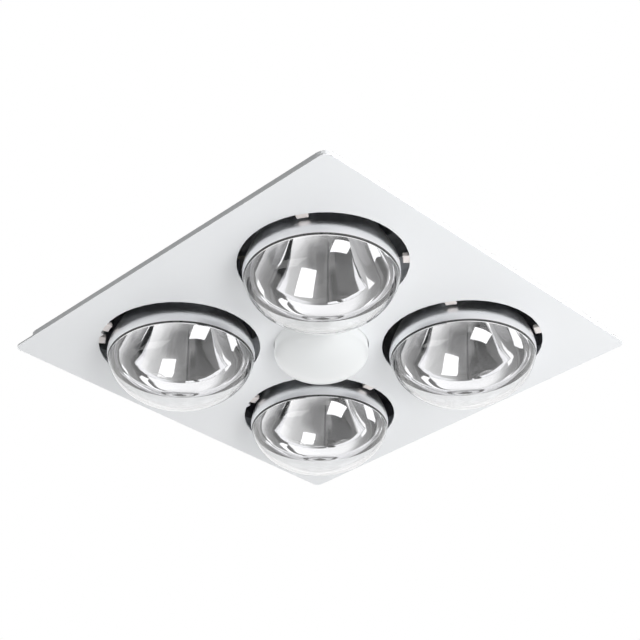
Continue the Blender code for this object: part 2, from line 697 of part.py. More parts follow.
def make_light(aluminium, fibreglass, opal, steel, casing):
    """The bridge, the finned base, the board, the domed twist-off cover and the driver on the wall."""
    reach = WALL_INSIDE - SEAT
    path = [(-reach, BASE_TOP + RAIL_TAB), (-reach, BASE_TOP), (reach, BASE_TOP),
            (reach, BASE_TOP + RAIL_TAB)]
    place("light_bridge", folded_strip(path, RAIL_SHEET, -BRIDGE_WIDTH / 2, BRIDGE_WIDTH / 2), steel)

    rim_top = FACE_Z + COVER_BEHIND_FACE + SEAT
    rim_radius = COVER_RADIUS - COVER_WALL - SEAT
    rim_low = rim_top - BASE_RIM_LENGTH
    groove_low = rim_low + GROOVE_RISE
    groove_high = groove_low + GROOVE_WIDTH
    seat_z = rim_low + BOARD_RECESS
    top = BASE_TOP - SEAT
    base = [(0.0, seat_z), (rim_radius - BASE_RIM_WALL, seat_z), (rim_radius - BASE_RIM_WALL, rim_low),
            (rim_radius, rim_low), (rim_radius, groove_low), (rim_radius - GROOVE_DEPTH, groove_low),
            (rim_radius - GROOVE_DEPTH, groove_high), (rim_radius, groove_high), (rim_radius, rim_top),
            (BASE_RADIUS, rim_top)]
    fins_low = top - (2 * BASE_FINS - 1) * BASE_FIN
    for k in range(BASE_FINS):
        low = fins_low + 2 * k * BASE_FIN
        if k:
            base.append((BASE_RADIUS - BASE_FIN_DEPTH, low))
            base.append((BASE_RADIUS, low))
        base.append((BASE_RADIUS, low + BASE_FIN))
        if k < BASE_FINS - 1:
            base.append((BASE_RADIUS - BASE_FIN_DEPTH, low + BASE_FIN))
    base.append((0.0, top))
    body = place("light_base", turned(base, 28), aluminium)

    # Three ways in through the rim's lower lip let the cover's lugs reach the groove
    lug_in = rim_radius - GROOVE_DEPTH + SEAT
    ways = []
    for k in range(LUG_COUNT):
        way = sector(lug_in - SEAT, rim_radius + OVERRUN, WAY_ARC, rim_low - OVERRUN, groove_low + SEAT)
        turn = 2 * pi * k / LUG_COUNT + COVER_TWIST
        bmesh.ops.transform(way, matrix=Matrix.Rotation(turn, 4, "Z"), verts=way.verts)
        ways.append(way)
    cut(body, "ways_in", together(*ways))

    board_radius = rim_radius - BASE_RIM_WALL - SEAT
    board_low = seat_z - SEAT - BOARD_SHEET
    board = [(0.0, board_low), (board_radius, board_low), (board_radius, board_low + BOARD_SHEET),
             (0.0, board_low + BOARD_SHEET)]
    place("led_board", turned(board, 24), fibreglass)

    twist = pivot("cover_twist", (0, 0, 0))
    low, high = FACE_Z - COVER_RIM_PROUD, FACE_Z + COVER_BEHIND_FACE
    inner = COVER_RADIUS - COVER_WALL
    outside = dome_points(COVER_RADIUS, COVER_DOME_DEPTH, low)
    inside = dome_points(inner, COVER_DOME_DEPTH - COVER_WALL, low)
    cover = outside + [(COVER_RADIUS, high), (inner, high)] + inside[::-1]
    shell = place("light_cover", turned(cover, 36), opal, carrier=twist)
    lugs = []
    for k in range(LUG_COUNT):
        lug = sector(lug_in, inner + COVER_WALL / 2, LUG_ARC, groove_low + SEAT, groove_high - SEAT)
        turn = 2 * pi * k / LUG_COUNT
        bmesh.ops.transform(lug, matrix=Matrix.Rotation(turn, 4, "Z"), verts=lug.verts)
        lugs.append(lug)
    join(shell, "bayonet_lugs", together(*lugs))

    width, length, height = DRIVER_SIZE
    driver = block(DRIVER_SIZE, (WALL_INSIDE - SEAT - width / 2, 0, DRIVER_HEIGHT + height / 2))
    bmesh.ops.bevel(driver, geom=driver.edges[:], offset=RAIL_SHEET, segments=1, affect="EDGES")
    place("led_driver", driver, casing)


def dome_points(radius, depth, rim_z, steps=7):
    """A quarter ellipse of (radius, height) points, from the axis up to the rim."""
    angles = [pi / 2 * k / steps for k in range(steps + 1)]
    return [(radius * sin(angle), rim_z - depth * cos(angle)) for angle in angles]


def sector(inner, outer, arc, low, high, steps=4):
    """A curved block between two radii, over an arc about +X."""
    points = []
    for radius, way in ((outer, 1), (inner, -1)):
        for k in range(steps + 1):
            angle = way * arc * (k / steps - 0.5)
            points.append((radius * cos(angle), radius * sin(angle)))
    return prism(points, low, high)


def make_duct(plastic, steel):
    """The spigot on the roof, and the pin and two half-round flaps of its shutter."""
    bead = DUCT_HEIGHT - DUCT_BEAD_BELOW_TOP
    spigot = [
        (DUCT_BORE, 0), (DUCT_FLANGE_RADIUS, 0), (DUCT_FLANGE_RADIUS, DUCT_WALL),
        (DUCT_RADIUS, DUCT_WALL), (DUCT_RADIUS, bead - 2 * DUCT_BEAD), (DUCT_RADIUS + DUCT_BEAD, bead),
        (DUCT_RADIUS, bead + 2 * DUCT_BEAD), (DUCT_RADIUS, DUCT_HEIGHT), (DUCT_BORE, DUCT_HEIGHT),
        (DUCT_BORE, LEDGE_HEIGHT + DUCT_WALL), (DUCT_BORE - LEDGE_WIDTH, LEDGE_HEIGHT + DUCT_WALL),
        (DUCT_BORE - LEDGE_WIDTH, LEDGE_HEIGHT), (DUCT_BORE, LEDGE_HEIGHT),
    ]
    tube = place("duct_spigot", turned(spigot, 36), plastic, (0, 0, DUCT_Z))
    pin_hole = rod(PIN_RADIUS + SEAT, -DUCT_RADIUS - OVERRUN, DUCT_RADIUS + OVERRUN,
                   (0, PIN_Z - DUCT_Z), 10, "X")
    cut(tube, "pin_hole", pin_hole)
    pin = rod(PIN_RADIUS, -DUCT_RADIUS, DUCT_RADIUS, (0, 0), 10, "X")
    place("flap_pin", pin, steel, (0, 0, PIN_Z))

    knuckle = PIN_RADIUS + SEAT + KNUCKLE_WALL
    flap_radius = DUCT_BORE - FLAP_MARGIN
    start = knuckle + SEAT
    first = atan(start / sqrt(flap_radius**2 - start**2))
    for side, name in ((1, "a"), (-1, "b")):
        carrier = pivot(f"flap_pivot_{name}", (0, 0, PIN_Z))
        outline = []
        for k in range(17):
            angle = first + k * (pi - 2 * first) / 16
            outline.append((flap_radius * cos(angle), side * flap_radius * sin(angle)))
        plate = place(f"shutter_flap_{name}", prism(outline, -FLAP_SHEET / 2, FLAP_SHEET / 2),
                      plastic, carrier=carrier)
        barrels = []
        for k, share in enumerate(KNUCKLE_PLACE_SHARES):
            middle = side * share * KNUCKLE_PITCH
            low, high = middle - KNUCKLE_LENGTH / 2, middle + KNUCKLE_LENGTH / 2
            barrels.append(rod(knuckle, low, high, (0, 0), 10, "X"))
            web = block((KNUCKLE_LENGTH, start + knuckle, FLAP_SHEET),
                        (middle, side * (start + knuckle) / 2, 0))
            join(plate, f"web_{name}_{k}", web)
        join(plate, f"barrels_{name}", together(*barrels))
        bore = rod(PIN_RADIUS + SEAT, -DUCT_RADIUS, DUCT_RADIUS, (0, 0), 10, "X")
        cut(plate, f"bore_{name}", bore)


def make_fan(painted, steel, plastic, plated):
    """The spider under the roof, the motor below it, and the shaft, impeller and nut that turn."""
    arms = []
    half = SPIDER_ARM_WIDTH / 2
    for sx, sy in ((1, 1), (-1, 1), (-1, -1), (1, -1)):
        inner = (sx * half, sy * half)
        along_x, along_y = (sx * SPIDER_REACH, sy * half), (sx * half, sy * SPIDER_REACH)
        arms += [along_x, inner, along_y] if sx * sy > 0 else [along_y, inner, along_x]
    low, high = SPIDER_Z, SPIDER_Z + SPIDER_SHEET
    spider = place("motor_spider", prism(arms, low, high), steel, turn=pi / 4)
    join(spider, "spider_hub", rod(SPIDER_HUB_RADIUS, low, high, (0, 0), 24))
    cut(spider, "spider_bore", rod(SPIDER_BORE_RADIUS, low - OVERRUN, high + OVERRUN, (0, 0), 16))

    top, bottom = MOTOR_TOP_Z, MOTOR_TOP_Z - MOTOR_HEIGHT
    bore = SHAFT_RADIUS + SEAT
    bore_end = top - SHAFT_IN_MOTOR - SEAT
    seam = (top + bottom) / 2
    edge = MOTOR_SEAM
    motor = [
        (0.0, bottom), (MOTOR_BOSS_RADIUS, bottom), (MOTOR_BOSS_RADIUS, bottom + MOTOR_BOSS),
        (MOTOR_RADIUS - edge, bottom + MOTOR_BOSS), (MOTOR_RADIUS, bottom + MOTOR_BOSS + edge),
        (MOTOR_RADIUS, seam - edge), (MOTOR_RADIUS + edge / 2, seam - edge / 2),
        (MOTOR_RADIUS + edge / 2, seam + edge / 2), (MOTOR_RADIUS, seam + edge),
        (MOTOR_RADIUS, top - MOTOR_BOSS), (MOTOR_BOSS_RADIUS + edge, top - edge),
        (MOTOR_BOSS_RADIUS, top), (bore, top), (bore, bore_end), (0.0, bore_end),
    ]
    place("fan_motor", turned(motor, 20), painted)

    spin = pivot("impeller_spin", (0, 0, HUB_Z))
    shaft_low = top - SHAFT_IN_MOTOR - HUB_Z
    shaft_high = HUB_HEIGHT + NUT_HEIGHT / 2
    place("motor_shaft", rod(SHAFT_RADIUS, shaft_low, shaft_high, (0, 0), 12), steel, carrier=spin)
    wall = BLADE_SHEET
    hub = [
        (bore, 0), (HUB_RADIUS, 0), (HUB_RADIUS, HUB_HEIGHT - wall), (HUB_RADIUS - wall, HUB_HEIGHT),
        (bore, HUB_HEIGHT),
    ]
    impeller = place("impeller", turned(hub, 20), plastic, carrier=spin)
    blades = []
    for k in range(BLADE_COUNT):
        blade = blade_shape()
        bmesh.ops.transform(
            blade, matrix=Matrix.Rotation(2 * pi * k / BLADE_COUNT, 4, "Z"), verts=blade.verts
        )
        blades.append(blade)
    join(impeller, "blades", together(*blades))
    nut_low = HUB_HEIGHT + SEAT
    nut = [(0.0, shaft_high + SEAT), (bore, shaft_high + SEAT), (bore, nut_low), (NUT_RADIUS, nut_low),
           (NUT_RADIUS, nut_low + NUT_HEIGHT / 2), (NUT_RADIUS / 2, nut_low + NUT_HEIGHT),
           (0.0, nut_low + NUT_HEIGHT)]
    place("impeller_nut", turned(nut, 12), plated, carrier=spin)


def blade_shape(spans=4, chords=3):
    """One twisted, hollow-faced blade from inside the hub's wall out to the tip."""
    shape = bmesh.new()
    root = HUB_RADIUS - BLADE_SHEET
    middle = HUB_HEIGHT / 2
    faces = []
    for side in (-1, 1):
        rows = []
        for i in range(spans + 1):
            share = i / spans
            radius = root + (IMPELLER_RADIUS - root) * share
            pitch = BLADE_ROOT_ANGLE + (BLADE_TIP_ANGLE - BLADE_ROOT_ANGLE) * share
            chord = BLADE_ROOT_CHORD + (BLADE_TIP_CHORD - BLADE_ROOT_CHORD) * share
            row = []
            for j in range(chords + 1):
                along = (j / chords - 0.5) * chord
                curve = BLADE_BOW_SHARE * chord * (1 - (2 * j / chords - 1) ** 2)
                bow = curve + side * BLADE_SHEET / 2
                tangent = along * cos(pitch) - bow * sin(pitch)
                lift = along * sin(pitch) + bow * cos(pitch)
                angle = tangent / radius
                row.append(shape.verts.new((radius * cos(angle), radius * sin(angle), middle + lift)))
            rows.append(row)
        faces.append(rows)
    under, over = faces
    for i in range(spans):
        for j in range(chords):
            for rows in faces:
                shape.faces.new((rows[i][j], rows[i + 1][j], rows[i + 1][j + 1], rows[i][j + 1]))
        for j in (0, chords):
            shape.faces.new((under[i][j], under[i + 1][j], over[i + 1][j], over[i][j]))
    for j in range(chords):
        for i in (0, spans):
            shape.faces.new((under[i][j], under[i][j + 1], over[i][j + 1], over[i][j]))
    return shape


def make_terminals(casing, gland_plastic, resin):
    """The terminal block on the roof, its cover and the cable gland in the cover's end."""
    width, length, height = TERMINAL_BLOCK_SIZE
    low = HOUSING_HEIGHT + SEAT
    x = TERMINAL_CENTRE_X
    blocks = place("terminal_block", block(TERMINAL_BLOCK_SIZE, (x, 0, low + height / 2)), resin)
    slots = []
    for k in range(1, TERMINAL_WAYS):
        y = -length / 2 + k * length / TERMINAL_WAYS
        slots.append(block((width + OVERRUN, TERMINAL_SLOT, height / 2), (x, y, low + height)))
    cut(blocks, "ways", together(*slots))

    cover_x, cover_y, cover_z = TERMINAL_COVER_SIZE
    wall = TERMINAL_COVER_WALL
    profile = [(wall, cover_z - wall), (wall, 0), (0, 0), (0, cover_z)]
    shell = carried(profile, cover_x / 2, cover_y / 2, TERMINAL_COVER_CORNER, 2, True)
    cover = place("terminal_cover", shell, casing, (x, 0, low))
    cut(cover, "gland_hole", rod(GLAND_STEM_RADIUS + SEAT, cover_y / 2 - wall - OVERRUN,
                                 cover_y / 2 + OVERRUN, (0, GLAND_HEIGHT), 16, "Y"))
    stem = GLAND_STEM_LENGTH
    gland = [
        (GLAND_BORE_RADIUS, -stem), (GLAND_STEM_RADIUS, -stem), (GLAND_STEM_RADIUS, SEAT),
        (GLAND_NUT_RADIUS, SEAT), (GLAND_NUT_RADIUS, GLAND_NUT_LENGTH - GLAND_LIP),
        (GLAND_NUT_RADIUS - GLAND_LIP, GLAND_NUT_LENGTH), (GLAND_BORE_RADIUS, GLAND_NUT_LENGTH),
    ]
    shape = turned(gland, 16)
    bmesh.ops.transform(shape, matrix=Matrix.Rotation(-pi / 2, 4, "X"), verts=shape.verts)
    place("cable_gland", shape, gland_plastic, (x, cover_y / 2, low + GLAND_HEIGHT))


def main():
    for old in list(bpy.data.objects):
        bpy.data.objects.remove(old, do_unlink=True)
    white_paint = material("white_powder_coat", (0.79, 0.80, 0.82), 0.32)
    zinc = material("galvanised_sheet", (0.56, 0.58, 0.60), 0.42, 0.9)
    spring_steel = material("spring_steel", (0.50, 0.50, 0.50), 0.30, 1.0)
    screw_steel = material("zinc_plated_screw", (0.62, 0.62, 0.60), 0.30, 1.0)
    lamp_glass = material("silvered_lamp_glass", (0.80, 0.81, 0.82), 0.06, 0.9)
    stem_glass = material("stem_glass", (0.85, 0.87, 0.88), 0.10, 0.0, 0.6)
    tungsten = material("tungsten", (0.25, 0.25, 0.26), 0.40, 1.0)
    cap_brass = material("cap_brass", (0.72, 0.58, 0.32), 0.30, 1.0)
    ceramic = material("white_ceramic", (0.85, 0.84, 0.80), 0.25)
    opal = material("opal_diffuser", (0.84, 0.85, 0.87), 0.22)
    aluminium = material("cast_aluminium", (0.60, 0.61, 0.62), 0.40, 1.0)
    board_white = material("white_board", (0.86, 0.86, 0.84), 0.45)
    casing = material("white_casing", (0.80, 0.80, 0.78), 0.45)
    duct_plastic = material("duct_plastic", (0.74, 0.75, 0.76), 0.45)
    fan_plastic = material("fan_plastic", (0.10, 0.10, 0.11), 0.40)
    motor_paint = material("motor_paint", (0.16, 0.16, 0.17), 0.45, 0.3)
    nylon = material("black_nylon", (0.07, 0.07, 0.07), 0.50)
    sleeve = material("silicone_sleeve", (0.78, 0.76, 0.72), 0.60)
    terminal_resin = material("terminal_resin", (0.82, 0.80, 0.72), 0.45)

    make_housing(zinc)
    make_fascia(white_paint, spring_steel, pivot("fascia_slide", (0, 0, 0)))
    make_clip_brackets(zinc)
    make_clamps(screw_steel, nylon)
    for name in LAMPS:
        make_lamp(name, lamp_glass, cap_brass, ceramic, tungsten, stem_glass)
    for name, side in (("a", -1), ("b", 1)):
        make_rail(name, side, zinc)
        make_loom(name, side, sleeve)
    make_light(aluminium, board_white, opal, zinc, casing)
    make_duct(duct_plastic, spring_steel)
    make_fan(motor_paint, zinc, fan_plastic, screw_steel)
    make_terminals(casing, nylon, terminal_resin)


main()
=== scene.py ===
"""Looks of a bathroom ceiling heater, seen from below against a white ceiling."""

import bmesh
import bpy
import numpy as np
from math import cos, pi, radians, sin
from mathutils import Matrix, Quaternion, Vector


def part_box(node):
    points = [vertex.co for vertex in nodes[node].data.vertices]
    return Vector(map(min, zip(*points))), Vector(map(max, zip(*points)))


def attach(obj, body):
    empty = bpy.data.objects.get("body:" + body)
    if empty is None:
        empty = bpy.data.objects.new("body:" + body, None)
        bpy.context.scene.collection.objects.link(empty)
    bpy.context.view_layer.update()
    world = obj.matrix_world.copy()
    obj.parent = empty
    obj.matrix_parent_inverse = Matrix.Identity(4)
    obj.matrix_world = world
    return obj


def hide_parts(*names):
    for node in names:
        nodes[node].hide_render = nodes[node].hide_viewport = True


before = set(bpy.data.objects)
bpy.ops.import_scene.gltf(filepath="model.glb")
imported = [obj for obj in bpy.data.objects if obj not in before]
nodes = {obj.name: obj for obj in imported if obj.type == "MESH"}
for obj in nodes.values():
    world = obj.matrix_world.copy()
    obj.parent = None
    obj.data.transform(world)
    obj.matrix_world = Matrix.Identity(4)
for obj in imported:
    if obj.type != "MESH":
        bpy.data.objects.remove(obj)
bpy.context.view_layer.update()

# Camera: below the ceiling, looking up at one corner of the square, as fitted to the photograph.
# It aims at the middle of the fascia's face, which lies a little below the picture's middle.
PHOTO_SIDE = 640
FOCAL_PIXELS = 1614
TARGET_PIXEL = (321.2, 345.7)
AZIMUTH, ELEVATION, ROLL = radians(43.65), radians(-32.18), radians(-1.10)
DISTANCE = 1.374
FACE_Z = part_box("fascia_panel")[0].z


def added(name, data):
    """A new object in the scene that holds a mesh, a camera or a light."""
    made = bpy.data.objects.new(name, data)
    bpy.context.scene.collection.objects.link(made)
    return made


back = Vector((sin(AZIMUTH) * cos(ELEVATION), -cos(AZIMUTH) * cos(ELEVATION), sin(ELEVATION)))
camera = added("camera", bpy.data.cameras.new("camera"))
camera.data.lens = FOCAL_PIXELS * camera.data.sensor_width / PHOTO_SIDE
camera.data.shift_x = (PHOTO_SIDE / 2 - TARGET_PIXEL[0]) / PHOTO_SIDE
camera.data.shift_y = (TARGET_PIXEL[1] - PHOTO_SIDE / 2) / PHOTO_SIDE
camera.location = Vector((0, 0, FACE_Z)) + back * DISTANCE
camera.rotation_mode = "QUATERNION"
camera.rotation_quaternion = (-back).to_track_quat("-Z", "Y") @ Quaternion((0, 0, 1), ROLL)
bpy.context.scene.camera = camera
bpy.context.scene.view_settings.view_transform = "Standard"


# Fascia: a flat steel sheet with a set-back skirt, both powder coated in white at the works.
# The coat has a fine orange peel, and is a little thinner and glossier in broad patches.
class Socket:
    """A shader socket in Python expressions: each operator adds one Math node."""

    def __init__(self, look, output):
        self.look = look
        self.output = output

    def __add__(self, other):
        return self.look.math("ADD", self, other)

    def __sub__(self, other):
        return self.look.math("SUBTRACT", self, other)

    def __rsub__(self, other):
        return self.look.math("SUBTRACT", other, self)

    def __mul__(self, other):
        return self.look.math("MULTIPLY", self, other)

    def __truediv__(self, other):
        return self.look.math("DIVIDE", self, other)

    def __pow__(self, other):
        return self.look.math("POWER", self, other)

    __radd__ = __add__
    __rmul__ = __mul__

    def between(self, low, high):
        """0 below low and 1 above high, with a smooth step from one to the other."""
        settings = {"interpolation_type": "SMOOTHSTEP"}
        return self.look.node("ShaderNodeMapRange", settings, {"Value": self, 1: low, 2: high})


class Look:
    """The nodes of a material or of the world, built up round its one shader."""

    def __init__(self, owner, shader):
        owner.use_nodes = True
        self.tree = owner.node_tree
        self.shader = self.tree.nodes[shader]

    def put(self, node, socket, value):
        """Links a value that changes over the surface to a socket, and sets a plain one on it."""
        if isinstance(value, Socket):
            self.tree.links.new(value.output, node.inputs[socket])
        else:
            node.inputs[socket].default_value = value

    def vary(self, **values):
        """Puts values on the shader's own sockets, whose names take _ for a space."""
        for socket, value in values.items():
            self.put(self.shader, socket.replace("_", " "), value)

    def node(self, kind, settings=None, inputs=None, output=0):
        """Adds any node: its type, its settings, then the values or links of its sockets."""
        made = self.tree.nodes.new(kind)
        for name, value in (settings or {}).items():
            if name == "stops":
                stops = made.color_ramp.elements
                while len(stops) < len(value):
                    stops.new(1)
                for stop, (position, colour) in zip(stops, value):
                    stop.position, stop.color = position, colour
            else:
                setattr(made, name, value)
        for socket, value in (inputs or {}).items():
            self.put(made, socket, value)
        return Socket(self, made.outputs[output])

    def math(self, operation, *values):
        """Adds one Math node."""
        return self.node("ShaderNodeMath", {"operation": operation}, dict(enumerate(values)))


class Finish(Look):
    """A material on one Principled shader, whose plain numbers are set on its own sockets."""

    def __init__(self, name, colour, roughness, **constants):
        self.material = bpy.data.materials.new(name)
        super().__init__(self.material, "Principled BSDF")
        self.vary(Base_Color=(*colour, 1), Roughness=roughness, **constants)

    def place(self, scale=(1, 1, 1)):
        """Object coordinates in metres, stretched per axis."""
        where = self.node("ShaderNodeTexCoord", output="Object")
        return self.node("ShaderNodeMapping", inputs={"Vector": where, "Scale": scale})

    def noise(self, size, detail=2.0, scale=(1, 1, 1)):
        """Cloudy noise from 0 to 1 whose patches are about one size across, in metres."""
        inputs = {"Vector": self.place(scale), "Scale": 1 / size, "Detail": detail}
        return self.node("ShaderNodeTexNoise", inputs=inputs)

    def mix(self, share, *colours):
        """The first of two colours where the share is 0, and the second where it is 1."""
        one, other = ((*colour, 1) if isinstance(colour, tuple) else colour for colour in colours)
        inputs = {0: share, 6: one, 7: other}
        return self.node("ShaderNodeMix", {"data_type": "RGBA"}, inputs, output=2)

    def bump(self, height, distance):
        """Bumps the shader by a height from 0 to 1 that stands for a distance in metres."""
        raised = self.node("ShaderNodeBump", inputs={"Height": height, "Distance": distance})
        self.vary(Normal=raised)

    def on(self, *names):
        """Gives the finish to CAD nodes."""
        for name in names:
            for slot in nodes[name].material_slots:
                slot.material = self.material


white_coat = Finish("white_powder_coat", (0.80, 0.815, 0.83), 0.34,
                    Coat_Weight=0.15, Coat_Roughness=0.12)
peel = white_coat.noise(0.0016, 3)
patches = white_coat.noise(0.09, 1)
white_coat.vary(Roughness=0.30 + 0.08 * patches + 0.03 * peel,
                Base_Color=white_coat.mix(patches, (0.795, 0.812, 0.830), (0.815, 0.826, 0.838)))
white_coat.bump(peel, 0.00003)
white_coat.on("fascia_panel", "fascia_skirt")

# Lamps: each a blown bulb of hard glass, silvered inside from just below its widest plane up to
# the neck, with a clear domed front. The ground neck goes into a brass screw cap. Heights are
# counted up the lamp's axis from its widest plane.
LAMPS = ("near", "right", "left", "far")
GLASS_WALL = 0.0012
BULB_INSET = 0.00002
DOME_DEPTH = 0.044
SILVER_END, EDGE_WIDTH = -0.0086, 0.0012
RIM_HEIGHT, SHOULDER_HEIGHT = -0.0018, 0.0130
SHOULDER_REACH, SHOULDER_LEAN = 0.32, np.array((-0.41, 0.91))
REFLECTOR_TOP, REFLECTOR_APEX = 0.0590, 0.0660
REFLECTOR_SLOPE, REFLECTOR_ROUND_SHARE = 0.0694, 0.1442
NECK_RADIUS, NECK_START, NECK_END = 0.0185, 0.0727, 0.098
NECK_WAY_IN, NECK_WAY_OUT = (-0.004, 0.0035), (0, 0.004)
TIP_RADIUS, TIP_START, TIP_END = 0.0118, 0.102, 0.108
TIP_ROUND, TIP_ROUND_LOW, TIP_ROUND_HIGH = 0.0006, 0.0016, 0.0008
FRONT_STEPS, EDGE_STEPS, BRIM_STEPS = 90, 3, 10
SHOULDER_STEPS, CONE_STEPS, NECK_STEPS = 20, 60, 10
BULB_TURNS = 128


def smooth_between(first, first_way, last, last_way, steps):
    """Points on the cubic curve that leaves the first point and reaches the last along two ways.

    Each is first*(1-t)^3 + 3*one*(1-t)^2*t + 3*two*(1-t)*t^2 + last*t^3, where one and two are
    the ends moved along their ways.
    """
    t = np.linspace(0, 1, steps)[:, None]
    first, last = np.array(first), np.array(last)
    one, two = first + np.array(first_way), last - np.array(last_way)
    return (first * (1 - t) ** 3 + 3 * one * (1 - t) ** 2 * t + 3 * two * (1 - t) * t**2
            + last * t**3)


def dome_part(offset, widest, low, high, steps):
    """A stretch of the front dome, the quarter ellipse r = widest sin a, z = -depth cos a."""
    depth = DOME_DEPTH - offset
    angle = np.linspace(np.arccos(min(-low / depth, 1)), np.arccos(-high / depth), steps)
    return np.stack([(widest - offset) * np.sin(angle), -depth * np.cos(angle)], 1)


def bulb_profile(offset, widest):
    """Outline (radius, height) from the dome's bottom to the neck's tip, set in by an offset.

    The reflector's cone is radius^2 = slope*u - share*u^2, with u counted down from its apex. The
    shoulder leaves the brim upright and meets the cone along its slope. The parts are the clear
    front, the dark edge of the silvering, all that is silvered above it, and the neck.
    """
    front = dome_part(offset, widest, -DOME_DEPTH, SILVER_END, FRONT_STEPS)
    edge = dome_part(offset, widest, SILVER_END, SILVER_END + EDGE_WIDTH, EDGE_STEPS)
    brim = dome_part(offset, widest, SILVER_END + EDGE_WIDTH, RIM_HEIGHT, BRIM_STEPS)
    height = np.linspace(SHOULDER_HEIGHT, REFLECTOR_TOP, CONE_STEPS)
    u = REFLECTOR_APEX - height
    radius = np.sqrt(REFLECTOR_SLOPE * u - REFLECTOR_ROUND_SHARE * u**2) + GLASS_WALL - offset
    cone = np.stack([radius, height], 1)
    reach = (SHOULDER_HEIGHT - RIM_HEIGHT) * SHOULDER_REACH
    shoulder = smooth_between(brim[-1], (0, reach), cone[0], SHOULDER_LEAN * reach, SHOULDER_STEPS)
    neck_radius, tip_radius = NECK_RADIUS - offset, TIP_RADIUS - offset
    neck = smooth_between(cone[-1], NECK_WAY_IN, (neck_radius, NECK_START), NECK_WAY_OUT,
                          NECK_STEPS)
    tip = np.array([
        (neck_radius, NECK_END), (neck_radius - TIP_ROUND, NECK_END + TIP_ROUND_LOW),
        (tip_radius + TIP_ROUND, TIP_START - TIP_ROUND_HIGH), (tip_radius, TIP_START),
        (tip_radius, TIP_END),
    ])
    return [front, edge[1:], np.concatenate([brim[1:], shoulder[1:], cone[1:]]),
            np.concatenate([neck[1:], tip])]


def smooth_mesh(name, points, faces):
    """A mesh of these points and faces, all shaded smooth."""
    mesh = bpy.data.meshes.new(name)
    mesh.from_pydata(points.tolist(), [], faces)
    mesh.polygons.foreach_set("use_smooth", np.ones(len(faces), bool))
    return mesh


def merge_and_face_out(mesh):
    """Merges doubled points, which closes poles and seams, and turns the faces outwards."""
    work = bmesh.new()
    work.from_mesh(mesh)
    bmesh.ops.remove_doubles(work, verts=work.verts, dist=1e-6)
    bmesh.ops.recalc_face_normals(work, faces=work.faces)
    work.to_mesh(mesh)
    work.free()


def turned(name, profile, centre, steps, finishes, bands=0):
    """A closed surface: every profile point (r, z) becomes the ring (r cos a, r sin a, z).

    The profile's ends close on each other, or on the axis where their radius is zero. The bands
    say which of the finishes starts at each point.
    """
    radius, height = profile[:, 0], profile[:, 1]
    angle = np.arange(steps) * 2 * pi / steps
    rings = np.stack([
        centre[0] + radius[:, None] * np.cos(angle),
        centre[1] + radius[:, None] * np.sin(angle),
        centre[2] + np.broadcast_to(height[:, None], (len(radius), steps)),
    ], axis=-1).reshape(-1, 3)
    count = len(radius)
    row = np.arange(count if radius[0] > 0 else count - 1)
    below = row[:, None] * steps + np.arange(steps)
    above = (row[:, None] + 1) % count * steps + np.arange(steps)
    quads = np.stack([below, np.roll(below, -1, 1), np.roll(above, -1, 1), above], -1)
    mesh = smooth_mesh(name, rings, quads.reshape(-1, 4).tolist())
    bands = np.repeat(np.broadcast_to(bands, count)[row], steps)
    mesh.polygons.foreach_set("material_index", bands)
    for finish in finishes:
        mesh.materials.append(finish.material)
    merge_and_face_out(mesh)
    return added(name, mesh)


def lamp_centre(lamp, height):
    """The point on a lamp's axis at this height."""
    low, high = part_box(f"lamp_glass_{lamp}")
    return (low.x + high.x) / 2, (low.y + high.y) / 2, low.z + DOME_DEPTH + height


silvering = Finish("silvering", (0.93, 0.93, 0.94), 0.035, Metallic=1.0)
silvering.bump(silvering.noise(0.018, 1.5), 0.00005)
silver_edge = Finish("silver_edge", (0.10, 0.10, 0.10), 0.25, Metallic=0.7)
silver_edge.vary(Roughness=0.2 + 0.2 * silver_edge.noise(0.003, 2))
silver_back = Finish("silver_back", (0.92, 0.925, 0.94), 0.28, Metallic=1.0)
silver_back.vary(Roughness=0.30 + 0.10 * silver_back.noise(0.012, 3))
silver_back.bump(silver_back.noise(0.006, 2), 0.000003)
front_glass = Finish("front_glass", (1, 1, 1), 0.0, Transmission_Weight=1.0, IOR=1.5)
front_glass.bump(front_glass.noise(0.02, 1), 0.00003)
neck_glass = Finish("neck_glass", (0.85, 0.88, 0.87), 0.05, Transmission_Weight=1.0, IOR=1.5)
neck_glass.bump(neck_glass.noise(0.004, 2), 0.00002)
BULB_FINISHES = (front_glass, silver_edge, silver_back, neck_glass, silvering)
OUTSIDE_BANDS = (0, 1, 2, 3)
INSIDE_BANDS = (0, 4, 4, 4)
for lamp in LAMPS:
    low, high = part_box(f"lamp_glass_{lamp}")
    widest = (high.x - low.x) / 2 - BULB_INSET
    inside = bulb_profile(GLASS_WALL, widest)
    parts = bulb_profile(0, widest) + [part[::-1] for part in inside[::-1]]
    bands = np.repeat(OUTSIDE_BANDS + INSIDE_BANDS[::-1], [len(part) for part in parts])
    bulb = turned(f"lamp_bulb_{lamp}", np.concatenate(parts), lamp_centre(lamp, 0), BULB_TURNS,
                  BULB_FINISHES, bands)
    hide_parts(f"lamp_glass_{lamp}")
    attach(bulb, "housing")

